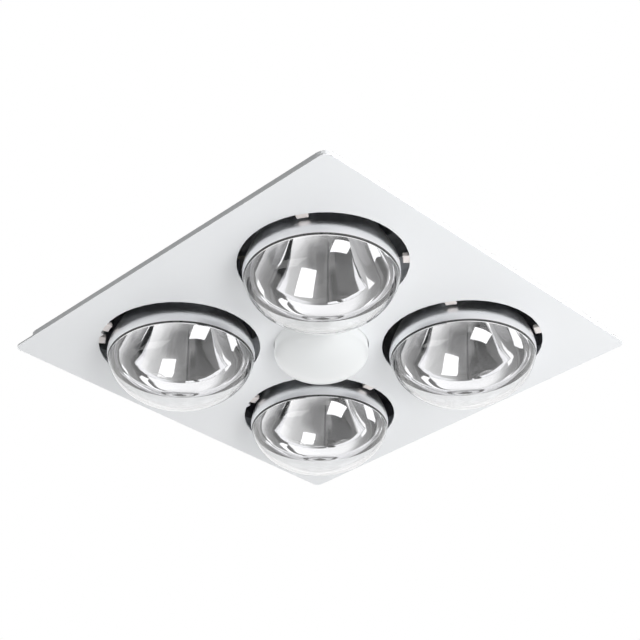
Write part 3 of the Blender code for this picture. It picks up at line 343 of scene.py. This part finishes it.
# Lamp caps: spun brass shells crimped on the neck, over a glass stem that carries the filament,
# a wire of tungsten on two leads. The brass is dulled in clouds, with fine ridges round it.
COIL_SCALE = 700.0
brass = Finish("cap_brass", (0.72, 0.58, 0.32), 0.3, Metallic=1.0)
dull = brass.noise(0.006, 4)
brass.vary(Base_Color=brass.mix(dull, (0.78, 0.64, 0.37), (0.58, 0.46, 0.25)),
           Roughness=0.20 + 0.28 * dull)
brass.bump(brass.noise(0.0012, 2, (1, 1, 4)), 0.00004)
brass.on(*(f"lamp_cap_{lamp}" for lamp in LAMPS))
stem_glass = Finish("stem_glass", (0.93, 0.95, 0.94), 0.02, Transmission_Weight=1.0, IOR=1.5)
stem_glass.bump(stem_glass.noise(0.003, 2), 0.00004)
stem_glass.on(*(f"lamp_stem_{lamp}" for lamp in LAMPS))
tungsten = Finish("tungsten", (0.25, 0.25, 0.26), 0.45, Metallic=1.0)
coil = tungsten.node("ShaderNodeTexWave", {"bands_direction": "X"},
                     {"Vector": tungsten.place(), "Scale": COIL_SCALE})
tungsten.bump(coil, 0.0001)
tungsten.on(*(f"lamp_filament_{lamp}" for lamp in LAMPS))

# Heat shields: a pressed aluminium disc round each lamp's stem, in the mouth of the neck, which
# keeps the lamp's heat off the cap. Each is dished, bright, and has a turned-up edge. The dish is
# given by shares of the way from hole to edge, each with its height.
SHIELD_HOLE, SHIELD_RADIUS, SHIELD_HEIGHT, SHIELD_SHEET = 0.0058, 0.0166, 0.0686, 0.0003
SHIELD_DISH = np.array([(0, 0), (0.5, -0.0006), (0.92, -0.0004), (1, 0.0008)])
SHIELD_TURNS = 48
bright_sheet = Finish("bright_aluminium", (0.90, 0.90, 0.91), 0.14, Metallic=1.0)
bright_sheet.vary(Roughness=0.10 + 0.10 * bright_sheet.noise(0.004, 2, (1, 1, 0.1)))
bright_sheet.bump(bright_sheet.noise(0.005, 2), 0.00002)
shield_radius = SHIELD_HOLE + (SHIELD_RADIUS - SHIELD_HOLE) * SHIELD_DISH[:, 0]
shield_under = np.stack([shield_radius, SHIELD_DISH[:, 1]], 1)
shield_outline = np.concatenate([shield_under, shield_under[::-1] + (0, SHIELD_SHEET)])
for lamp in LAMPS:
    shield = turned(f"lamp_heat_shield_{lamp}", shield_outline, lamp_centre(lamp, SHIELD_HEIGHT),
                    SHIELD_TURNS, (bright_sheet,))
    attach(shield, "housing")

# Lampholders: glazed white porcelain, one for each lamp. Their leads lie along the rails in
# braided sleeves coated with silicone.
BRAID_SCALE = 260.0
ceramic = Finish("white_ceramic", (0.85, 0.84, 0.80), 0.22, Coat_Weight=0.4, Coat_Roughness=0.06)
speck = ceramic.noise(0.0009, 2).between(0.66, 0.74)
ceramic.vary(Base_Color=ceramic.mix(speck, (0.85, 0.84, 0.80), (0.70, 0.66, 0.58)),
             Roughness=0.18 + 0.12 * ceramic.noise(0.015, 2))
ceramic.bump(ceramic.noise(0.006, 2), 0.0001)
ceramic.on(*(f"lampholder_{lamp}" for lamp in LAMPS))
sleeve = Finish("silicone_sleeve", (0.78, 0.76, 0.72), 0.7)
strands = [sleeve.node("ShaderNodeTexWave", {"bands_direction": "DIAGONAL"},
                       {"Vector": sleeve.place(way), "Scale": BRAID_SCALE})
           for way in ((1, 1, 1), (1, -1, 1))]
braid = strands[0] * strands[1]
sleeve.vary(Base_Color=sleeve.mix(braid, (0.64, 0.62, 0.58), (0.82, 0.80, 0.76)))
sleeve.bump(braid, 0.00015)
sleeve.on("lamp_loom_a", "lamp_loom_b")

# Housing: a box of galvanised sheet with its rails, bridge, brackets and spider of the same stock.
# The zinc shows a spangle of crystals, each with its own grey and gloss, and faint rolling lines.
LARGE_CRYSTAL, SMALL_CRYSTAL = 0.011, 0.0045
galvanised = Finish("galvanised_sheet", (0.56, 0.58, 0.60), 0.38, Metallic=1.0)


def crystals(finish, size):
    """A grey from 0 to 1 for each crystal of the spangle, about one size across, in metres."""
    tint = finish.node("ShaderNodeTexVoronoi", inputs={"Vector": finish.place(), "Scale": 1 / size},
                       output="Color")
    return finish.node("ShaderNodeSeparateColor", inputs={"Color": tint})


spangle = 0.7 * crystals(galvanised, LARGE_CRYSTAL) + 0.3 * crystals(galvanised, SMALL_CRYSTAL)
rolled = galvanised.noise(0.004, 2, (1, 1, 0.04))
galvanised.vary(Base_Color=galvanised.mix(spangle, (0.45, 0.47, 0.49), (0.66, 0.68, 0.70)),
                Roughness=0.27 + 0.18 * spangle + 0.06 * rolled)
galvanised.bump(rolled, 0.00003)
galvanised.on("housing", "holder_rail_a", "holder_rail_b", "light_bridge", "motor_spider",
              *(f"clip_bracket_{lamp}" for lamp in LAMPS))

# Rivets: aluminium blind rivets through the housing's sheet, which hold its rails, the light's
# bridge, the clip brackets and the motor's spider. Their heads are low domes, a little scuffed.
RIVET_HEAD = np.array([(0, -0.0001), (0.0024, -0.0001), (0.0024, 0.0002), (0.0022, 0.0005),
                       (0.0016, 0.0008), (0.0008, 0.00095), (0, 0.001)])
RIVET_TURNS = 20
RAIL_RIVET_Y, RAIL_RIVET_Z = (0.078, 0.092), 0.122
BRIDGE_RIVET_Y, BRIDGE_RIVET_Z = 0.007, 0.028
SPIDER_RIVET = 0.0608
WALL_OUTSIDE, ROOF_OUTSIDE = 0.150, 0.150
QUARTERS = [(x, y) for x in (-1, 1) for y in (-1, 1)]
rivet_alloy = Finish("rivet_aluminium", (0.78, 0.78, 0.79), 0.32, Metallic=1.0)
scuffs = rivet_alloy.noise(0.0015, 3)
rivet_alloy.vary(Base_Color=rivet_alloy.mix(scuffs, (0.80, 0.80, 0.81), (0.66, 0.66, 0.67)),
                 Roughness=0.22 + 0.22 * scuffs)
rivet_alloy.bump(scuffs, 0.00002)


def rivet_heads(name, places, ways):
    """One mesh of rivet heads, each at its place and standing out along its way.

    A head is place + r cos a * side + r sin a * up + h * way, for its rings (r, h) and turns a.
    """
    places, ways = np.array(places, float), np.array(ways, float)
    up = np.where(np.abs(ways[:, 2:]) > 0.5, (0, 1, 0), (0, 0, 1))
    side = np.cross(up, ways)
    angle = np.arange(RIVET_TURNS) * 2 * pi / RIVET_TURNS
    radius, height = RIVET_HEAD.T[:, :, None, None]
    heads = (radius * np.cos(angle)[:, None] * side[:, None, None]
             + radius * np.sin(angle)[:, None] * up[:, None, None] + height * ways[:, None, None])
    points = (places[:, None, None] + heads).reshape(-1, 3)
    rings = len(RIVET_HEAD)
    at = (np.arange(len(places))[:, None, None] * rings * RIVET_TURNS
          + np.arange(rings - 1)[:, None] * RIVET_TURNS + np.arange(RIVET_TURNS))
    beside = np.roll(at, -1, 2)
    quads = np.stack([at, beside, beside + RIVET_TURNS, at + RIVET_TURNS], -1).reshape(-1, 4)
    mesh = smooth_mesh(name, points, quads.tolist())
    mesh.materials.append(rivet_alloy.material)
    merge_and_face_out(mesh)
    made = added(name, mesh)
    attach(made, "housing")


wall_rivets = [(side, half * y, RAIL_RIVET_Z) for side, half in QUARTERS for y in RAIL_RIVET_Y]
wall_rivets += [(side, half * BRIDGE_RIVET_Y, BRIDGE_RIVET_Z) for side, half in QUARTERS]
for lamp in LAMPS:
    low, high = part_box(f"clip_bracket_{lamp}")
    side = 1 if high.x > -low.x else -1
    wall_rivets.append((side, (low.y + high.y) / 2, (low.z + high.z) / 2))
rivet_heads("wall_rivets", [(side * WALL_OUTSIDE, y, z) for side, y, z in wall_rivets],
            [(side, 0, 0) for side, y, z in wall_rivets])
roof_rivets = [(x * SPIDER_RIVET, y * SPIDER_RIVET, ROOF_OUTSIDE) for x, y in QUARTERS]
rivet_heads("roof_rivets", roof_rivets, [(0, 0, 1)] * len(roof_rivets))

# Fascia clips: drawn spring wire, one in each corner, hooked in a bracket and sprung upwards.
# The wire is bright, with fine draw lines along it, and the shutter's pin is of the same wire.
spring_wire = Finish("spring_steel", (0.62, 0.62, 0.61), 0.26, Metallic=1.0)
drawn = spring_wire.noise(0.0006, 2, (1, 1, 0.05))
spring_wire.vary(Base_Color=spring_wire.mix(drawn, (0.56, 0.56, 0.55), (0.72, 0.72, 0.71)),
                 Roughness=0.18 + 0.16 * drawn)
spring_wire.bump(drawn, 0.00001)
spring_wire.on("flap_pin", *(f"spring_clip_{lamp}" for lamp in LAMPS))

# Lamp pads: small moulded silicone pads pushed onto the edges of the lamp holes, two to a lamp.
# They keep a bulb off the sheet, have round edges, and are a little dusty. Each hole is given by
# its sides of the middle, with the turns of its two pads in degrees.
HOLE_PITCH, HOLE_RADIUS = 0.170, 0.0685
PAD_INNER, PAD_LOW, PAD_HIGH = 0.0628, -0.0133, -0.0095
PAD_HALF_ARC, PAD_ROUND = radians(4.2), 0.0005
PAD_PLACES = {"near": (1, -1, (-60, 40)), "right": (1, 1, (-58, 26)),
              "left": (-1, -1, (-109, -126)), "far": (-1, 1, (-109, -4))}
BLOCK_STEPS = 9
SHARP_ANGLE = pi / 4
pad_rubber = Finish("pad_rubber", (0.80, 0.76, 0.73), 0.6)
dusting = pad_rubber.noise(0.003, 3)
pad_rubber.vary(Base_Color=pad_rubber.mix(dusting, (0.76, 0.71, 0.69), (0.84, 0.80, 0.78)),
                Roughness=0.5 + 0.2 * dusting)
pad_rubber.bump(pad_rubber.noise(0.0008, 2), 0.00004)


def curved_block(name, outline, centre, middle, half_arc, rounding, finish):
    """A solid of points (r, z) swept round a centre: (x + r cos a, y + r sin a, z), ends closed.

    The sweep reaches half an arc to each side of its middle, and its sharp edges are rounded.
    """
    angle = middle + np.linspace(-half_arc, half_arc, BLOCK_STEPS)[:, None]
    radius, height = outline.T
    points = np.stack([centre[0] + radius * np.cos(angle), centre[1] + radius * np.sin(angle),
                       height + 0 * angle], -1).reshape(-1, 3)
    count = len(outline)
    at = np.arange(BLOCK_STEPS - 1)[:, None] * count + np.arange(count)
    beside = np.roll(at, -1, 1)
    quads = np.stack([at, at + count, beside + count, beside], -1).reshape(-1, 4)
    ends = np.arange(BLOCK_STEPS * count).reshape(-1, count)[[0, -1]]
    mesh = bpy.data.meshes.new(name)
    mesh.from_pydata(points.tolist(), [], quads.tolist() + ends.tolist())
    mesh.materials.append(finish.material)
    work = bmesh.new()
    work.from_mesh(mesh)
    bmesh.ops.recalc_face_normals(work, faces=work.faces)
    sharp = [edge for edge in work.edges if edge.calc_face_angle() > SHARP_ANGLE]
    bmesh.ops.bevel(work, geom=sharp, offset=rounding, segments=2, profile=0.5, affect="EDGES")
    work.to_mesh(mesh)
    work.free()
    return added(name, mesh)


pad_outline = np.array([(PAD_INNER, PAD_LOW), (HOLE_RADIUS, PAD_LOW), (HOLE_RADIUS, PAD_HIGH),
                        (PAD_INNER, PAD_HIGH)])
for lamp, (side_x, side_y, turns) in PAD_PLACES.items():
    hole_centre = (side_x * HOLE_PITCH / 2, side_y * HOLE_PITCH / 2)
    for letter, degrees in zip("ab", turns):
        pad = curved_block(f"lamp_pad_{lamp}_{letter}", pad_outline, hole_centre,
                           radians(degrees), PAD_HALF_ARC, PAD_ROUND, pad_rubber)
        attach(pad, "fascia")

# Clamps: arms of black glass-filled nylon on zinc-plated screws, which grip the ceiling board.
# The nylon is matt with a sparked grain; the screws are pale and a little yellow in places.
nylon = Finish("black_nylon", (0.03, 0.03, 0.032), 0.5)
grain = nylon.noise(0.0007, 3)
nylon.vary(Base_Color=nylon.mix(nylon.noise(0.01, 2), (0.026, 0.026, 0.028), (0.045, 0.045, 0.046)),
           Roughness=0.42 + 0.20 * grain)
nylon.bump(grain, 0.00005)
nylon.on("cable_gland", *(f"clamp_arm_{letter}" for letter in "abcd"))
zinc = Finish("zinc_plated_screw", (0.62, 0.62, 0.60), 0.3, Metallic=1.0)
bloom = zinc.noise(0.003, 3)
zinc.vary(Base_Color=zinc.mix(bloom, (0.66, 0.66, 0.64), (0.58, 0.57, 0.50)),
          Roughness=0.22 + 0.2 * bloom)
zinc.bump(zinc.noise(0.0008, 2), 0.00002)
zinc.on("motor_shaft", "impeller_nut", *(f"clamp_screw_{letter}" for letter in "abcd"))

# Light cover: moulded of opal plastic, a smooth dome with three lugs inside its rim, which turn
# into the groove of the light's base. Its even paleness is painted light: a steady glow on a dark
# base colour.
COVER_DOME_DEPTH, COVER_WALL = 0.0215, 0.0020
COVER_TURNS, DOME_STEPS = 144, 48
COVER_LUGS, COVER_LUG_HALF_ARC, COVER_LUG_ROUND = 3, radians(12), 0.0002
COVER_LUG_INNER, COVER_LUG_LOW, COVER_LUG_HIGH = 0.03615, -0.0093, -0.0069
# Painted glow: the emission lights the cover and its lugs evenly, though the cover is no lamp.
opal_painted_glow = Finish("opal_diffuser", (0.30, 0.305, 0.31), 0.20, Emission_Color=(0.985, 1.0, 1.0, 1),
              Emission_Strength=0.435)
cloud = opal_painted_glow.noise(0.03, 2)
opal_painted_glow.vary(Base_Color=opal_painted_glow.mix(cloud, (0.29, 0.302, 0.308), (0.31, 0.314, 0.317)),
          Roughness=0.18 + 0.08 * cloud)
opal_painted_glow.bump(opal_painted_glow.noise(0.002, 2), 0.00001)


def quarter_dome(radius, depth, rim_z):
    """Points (r, z) from the axis up to the rim: r = radius sin a, z = rim_z - depth cos a."""
    angle = np.linspace(0, pi / 2, DOME_STEPS)
    return np.stack([radius * np.sin(angle), rim_z - depth * np.cos(angle)], 1)


low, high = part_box("light_cover")
rim_z = low.z + COVER_DOME_DEPTH
inner = high.x - COVER_WALL
cover_outline = np.concatenate([
    quarter_dome(high.x, COVER_DOME_DEPTH, rim_z),
    [(high.x, high.z - COVER_WALL / 2), (high.x, high.z),
     (inner, high.z), (inner, high.z - COVER_WALL / 2)],
    quarter_dome(inner, COVER_DOME_DEPTH - COVER_WALL, rim_z)[::-1],
])
cover = turned("light_cover_shell", cover_outline, (0, 0, 0), COVER_TURNS, (opal_painted_glow,))
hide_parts("light_cover")
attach(cover, "cover")
lug_outer = inner + COVER_WALL / 2
lug_outline = np.array([(COVER_LUG_INNER, COVER_LUG_LOW), (lug_outer, COVER_LUG_LOW),
                        (lug_outer, COVER_LUG_HIGH), (COVER_LUG_INNER, COVER_LUG_HIGH)])
for k in range(COVER_LUGS):
    lug = curved_block(f"cover_lug_{k + 1}", lug_outline, (0, 0), 2 * pi * k / COVER_LUGS,
                       COVER_LUG_HALF_ARC, COVER_LUG_ROUND, opal_painted_glow)
    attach(lug, "cover")

# Light: a cast, finned base on the bridge with its board of lamps under it, and its driver in a
# casing on the housing's wall. The board has a white mask, and the casing a sparked grain.
cast = Finish("cast_aluminium", (0.60, 0.61, 0.62), 0.45, Metallic=1.0)
skin = cast.noise(0.0011, 3)
cast.vary(Base_Color=cast.mix(cast.noise(0.012, 2), (0.56, 0.57, 0.58), (0.65, 0.66, 0.67)),
          Roughness=0.38 + 0.2 * skin)
cast.bump(skin, 0.00012)
cast.on("light_base")
solder_mask = Finish("white_board", (0.86, 0.86, 0.84), 0.35)
solder_mask.vary(Roughness=0.28 + 0.14 * solder_mask.noise(0.004, 2))
solder_mask.bump(solder_mask.noise(0.0009, 2), 0.00002)
solder_mask.on("led_board")
casing = Finish("white_casing", (0.80, 0.80, 0.78), 0.45)
sparked = casing.noise(0.0006, 3)
casing.vary(Base_Color=casing.mix(casing.noise(0.03, 2), (0.78, 0.78, 0.755), (0.82, 0.82, 0.80)),
            Roughness=0.40 + 0.16 * sparked)
casing.bump(sparked, 0.00006)
casing.on("led_driver", "terminal_cover")

# Fan: an enamelled motor on its spider, which turns a moulded impeller held by a nut.
# The enamel is satin with dust in it; the impeller shows flow lines round its hub.
enamel = Finish("motor_paint", (0.16, 0.16, 0.17), 0.35, Coat_Weight=0.25, Coat_Roughness=0.15)
dust = enamel.noise(0.0012, 3)
enamel.vary(Base_Color=enamel.mix(dust.between(0.55, 0.75), (0.15, 0.15, 0.16), (0.21, 0.21, 0.21)),
            Roughness=0.30 + 0.14 * enamel.noise(0.02, 2))
enamel.bump(dust, 0.00003)
enamel.on("fan_motor")
moulded = Finish("fan_plastic", (0.10, 0.10, 0.11), 0.4)
flow = moulded.noise(0.02, 3, (1, 1, 3))
moulded.vary(Base_Color=moulded.mix(flow, (0.085, 0.085, 0.095), (0.125, 0.125, 0.135)),
             Roughness=0.32 + 0.16 * flow)
moulded.bump(moulded.noise(0.0008, 2), 0.00003)
moulded.on("impeller")

# Duct: a moulded spigot on the roof, with a back-draught shutter of two thin flaps on one pin.
# Both are a pale grey plastic, satin, with a fine grain from the tool.
duct = Finish("duct_plastic", (0.74, 0.75, 0.76), 0.42)
tool_grain = duct.noise(0.0009, 3)
duct.vary(Base_Color=duct.mix(duct.noise(0.04, 2), (0.71, 0.72, 0.73), (0.77, 0.78, 0.79)),
          Roughness=0.36 + 0.14 * tool_grain)
duct.bump(tool_grain, 0.00006)
duct.on("duct_spigot", "shutter_flap_a", "shutter_flap_b")

# Terminals: a resin block on the roof under a snap-on cover, where the mains lead comes in
# through a gland. The resin is ivory with a little mottle.
resin = Finish("terminal_resin", (0.82, 0.80, 0.72), 0.38)
mottle = resin.noise(0.004, 3)
resin.vary(Base_Color=resin.mix(mottle, (0.80, 0.775, 0.69), (0.85, 0.83, 0.755)),
           Roughness=0.32 + 0.14 * mottle)
resin.bump(resin.noise(0.0009, 2), 0.00004)
resin.on("terminal_block")

# Softboxes and walls: two white cards and a grey bowl that show only as mirrored in the lamps and
# other gloss, as a photographer's room does. The walls have greys at compass angles in degrees:
# high up near the ceiling, midway and far below. Their seams lean round as they go down.
SOFTBOXES = {
    "softbox_right": [(0.998, -0.176, -0.521), (0.838, -0.644, -0.584),
                      (0.857, -0.561, -0.272), (0.955, -0.116, -0.218)],
    "softbox_left": [(-0.02, -0.79, -0.91), (-0.60, -0.83, -0.58),
                     (-0.21, -1.02, -0.62), (0.37, -0.86, -0.81)],
}
WALL_RADIUS, WALL_RINGS, WALL_TURNS = 2.2, 48, 128
GREYS_HIGH = ((-180, 1.25), (-127, 1.25), (-120, 0.05), (-85, 0.03), (-62, 0.06), (-57, 0.12),
              (-55.5, 0.03), (-54, 0.03), (-52.5, 0.17), (-45, 0.19), (-38, 0.26), (-30, 0.38),
              (-20, 0.46), (-8, 0.50), (4, 0.57), (12, 0.66), (20, 0.85), (40, 1.10), (179, 1.25))
GREYS_MIDWAY = ((-180, 1.25), (-127, 1.25), (-120, 0.05), (-85, 0.035), (-77, 0.05), (-72, 0.07),
                (-69, 0.21), (-60, 0.22), (-57, 0.20), (-55.5, 0.05), (-54, 0.05), (-52.5, 0.23),
                (-45, 0.19), (-25, 0.23), (-12, 0.32), (-3, 0.40), (4, 0.56), (12, 0.66),
                (20, 0.85), (40, 1.10), (179, 1.25))
GREYS_BELOW = ((-180, 0.95), (-125, 0.80), (-95, 0.62), (-70, 0.42), (-50, 0.36), (-30, 0.42),
               (-10, 0.66), (20, 0.85), (50, 0.95), (179, 0.95))
HIGH_TO_MIDWAY, MIDWAY_TO_BELOW = (26, 33), (44, 60)
LEAN_FROM, LEAN_OVER, LEAN_TURN, LEAN_POWER = 17, 41, 18, 1.5
DEGREES = 180 / pi


def only_reflected(name, mesh, finish):
    """Puts a mesh on the stage so that only mirrored rays and rays through glass see it."""
    mesh.materials.append(finish.material)
    made = added(name, mesh)
    made.visible_camera = False
    made.visible_diffuse = False
    made.visible_shadow = False


soft_light = Finish("soft_light", (0, 0, 0), 1.0, Emission_Color=(1, 1, 1, 1),
                    Emission_Strength=1.3)
for name, corners in SOFTBOXES.items():
    card = bpy.data.meshes.new(name)
    card.from_pydata(corners, [], [tuple(range(len(corners)))])
    only_reflected(name, card, soft_light)

walls = Finish("walls", (0, 0, 0), 1.0, Specular_IOR_Level=0.0, Emission_Strength=1.0)
along, across, up = (walls.node("ShaderNodeSeparateXYZ", inputs={0: walls.place()}, output=axis)
                     for axis in "XYZ")
fall = walls.math("ARCSINE", up * (-1 / WALL_RADIUS)) * DEGREES
lean = walls.math("MAXIMUM", (fall - LEAN_FROM) / LEAN_OVER, 0.0)
turn = walls.math("ARCTAN2", across, along) * DEGREES + LEAN_TURN * lean ** LEAN_POWER


def all_round(greys):
    """Greys at compass angles in degrees, blended from each one to the next."""
    stops = [((angle + 180) / 360, (grey, grey, grey, 1)) for angle, grey in greys]
    return walls.node("ShaderNodeValToRGB", {"stops": stops}, {"Fac": (turn + 180) / 360})


upper = walls.mix(fall.between(*HIGH_TO_MIDWAY), all_round(GREYS_HIGH), all_round(GREYS_MIDWAY))
greys = walls.mix(fall.between(*MIDWAY_TO_BELOW), upper, all_round(GREYS_BELOW))
walls.vary(Emission_Color=greys)


def bowl(radius, rings, steps):
    """The lower half of a ball, in rings at even steps of angle a down to the pole.

    A ring's points are radius * (cos a cos b, cos a sin b, -sin a), all round at even steps of b.
    """
    down = np.linspace(0, pi / 2, rings)[:-1, None]
    angle = np.arange(steps) * 2 * pi / steps
    points = np.stack([radius * np.cos(down) * np.cos(angle), radius * np.cos(down) * np.sin(angle),
                       -radius * np.sin(down) + 0 * angle], -1).reshape(-1, 3)
    at = np.arange(rings - 2)[:, None] * steps + np.arange(steps)
    beside = np.roll(at, -1, 1)
    quads = np.stack([at, beside, beside + steps, at + steps], -1).reshape(-1, 4)
    pole = len(points)
    last = np.arange(pole - steps, pole)
    cap = np.stack([last, np.roll(last, -1), np.full(steps, pole)], -1)
    return smooth_mesh("walls", np.vstack([points, (0, 0, -radius)]), quads.tolist() + cap.tolist())


only_reflected("walls", bowl(WALL_RADIUS, WALL_RINGS, WALL_TURNS), walls)

# Room: a white ceiling round the cut-out, a pale floor, and white all round for the camera.
# Other rays see that white at a lower level, so that it doesn't flood the heater with light.
SQUARE = ((-1, -1), (1, -1), (1, 1), (-1, 1))
WHITE_FOR_DIFFUSE = 0.30
CEILING_Z, CEILING_HOLE, CEILING_REACH = 0.0004, 0.165, 4.0
FLOOR_Z, FLOOR_REACH = -2.4, 14.0
FLOOR_FOR_CAMERA = 0.72


def seen_white(look):
    """1 for rays that come straight, mirrored or through glass from the camera, else less."""
    straight, mirrored, glazed = (look.node("ShaderNodeLightPath", output=f"Is {kind} Ray")
                                  for kind in ("Camera", "Glossy", "Transmission"))
    seen = look.math("MAXIMUM", look.math("MAXIMUM", straight, mirrored), glazed)
    return seen * (1 - WHITE_FOR_DIFFUSE) + WHITE_FOR_DIFFUSE


world = bpy.data.worlds.new("studio")
bpy.context.scene.world = world
room = Look(world, "Background")
room.vary(Color=(1, 1, 1, 1), Strength=seen_white(room))

ceiling_paint = Finish("ceiling_paint", (0, 0, 0), 1.0, Specular_IOR_Level=0.0,
                       Emission_Color=(1, 1, 1, 1))
ceiling_paint.vary(Emission_Strength=seen_white(ceiling_paint),
                   Alpha=1 - ceiling_paint.node("ShaderNodeNewGeometry", output="Backfacing"))
ceiling_mesh = bpy.data.meshes.new("ceiling")
ceiling_mesh.from_pydata([(x * s, y * s, CEILING_Z) for s in (CEILING_HOLE, CEILING_REACH)
                          for x, y in SQUARE], [],
                         [(k, (k + 1) % 4, (k + 1) % 4 + 4, k + 4) for k in range(4)])
ceiling_mesh.materials.append(ceiling_paint.material)
ceiling = added("ceiling", ceiling_mesh)

floor_paint = Finish("floor_paint", (0.82, 0.82, 0.82), 0.8, Emission_Color=(1, 1, 1, 1))
seen_straight = floor_paint.node("ShaderNodeLightPath", output="Is Camera Ray")
floor_paint.vary(Emission_Strength=FLOOR_FOR_CAMERA * seen_straight)
floor_mesh = bpy.data.meshes.new("floor")
floor_mesh.from_pydata([(x * FLOOR_REACH, y * FLOOR_REACH, FLOOR_Z) for x, y in SQUARE], [],
                       [(0, 1, 2, 3)])
floor_mesh.materials.append(floor_paint.material)
floor = added("floor", floor_mesh)


# Lights: soft panels below the ceiling that light the face and the skirt, and one over it for the
# housing's roof, which is the only one that shows in metal and glass.
def light_panel(name, place, aim, width, height, watts, mirrored=False):
    """A soft area light that faces the point it is aimed at."""
    light = bpy.data.lights.new(name, "AREA")
    light.shape = "RECTANGLE"
    light.size, light.size_y, light.energy = width, height, watts
    made = added(name, light)
    made.location = place
    made.rotation_mode = "QUATERNION"
    made.rotation_quaternion = (Vector(aim) - Vector(place)).to_track_quat("-Z", "Y")
    made.visible_glossy = mirrored
    made.visible_transmission = mirrored


light_panel("front_fill", (0.0, 0.0, -2.0), (0, 0, FACE_Z), 1.6, 1.6, 11.8)
light_panel("right_fill", (0.70, 0.66, -1.2), (0, 0, FACE_Z), 1.0, 1.0, 6.4)
light_panel("key", (1.35, -0.25, -0.90), (0, 0, FACE_Z), 0.5, 0.5, 8.5)
light_panel("right_side", (1.6, -0.10, -0.10), (0.18, 0, -0.006), 0.4, 0.12, 16.0)
light_panel("top", (0.5, -0.8, 1.6), (0, 0, 0), 1.2, 1.2, 20.0, True)
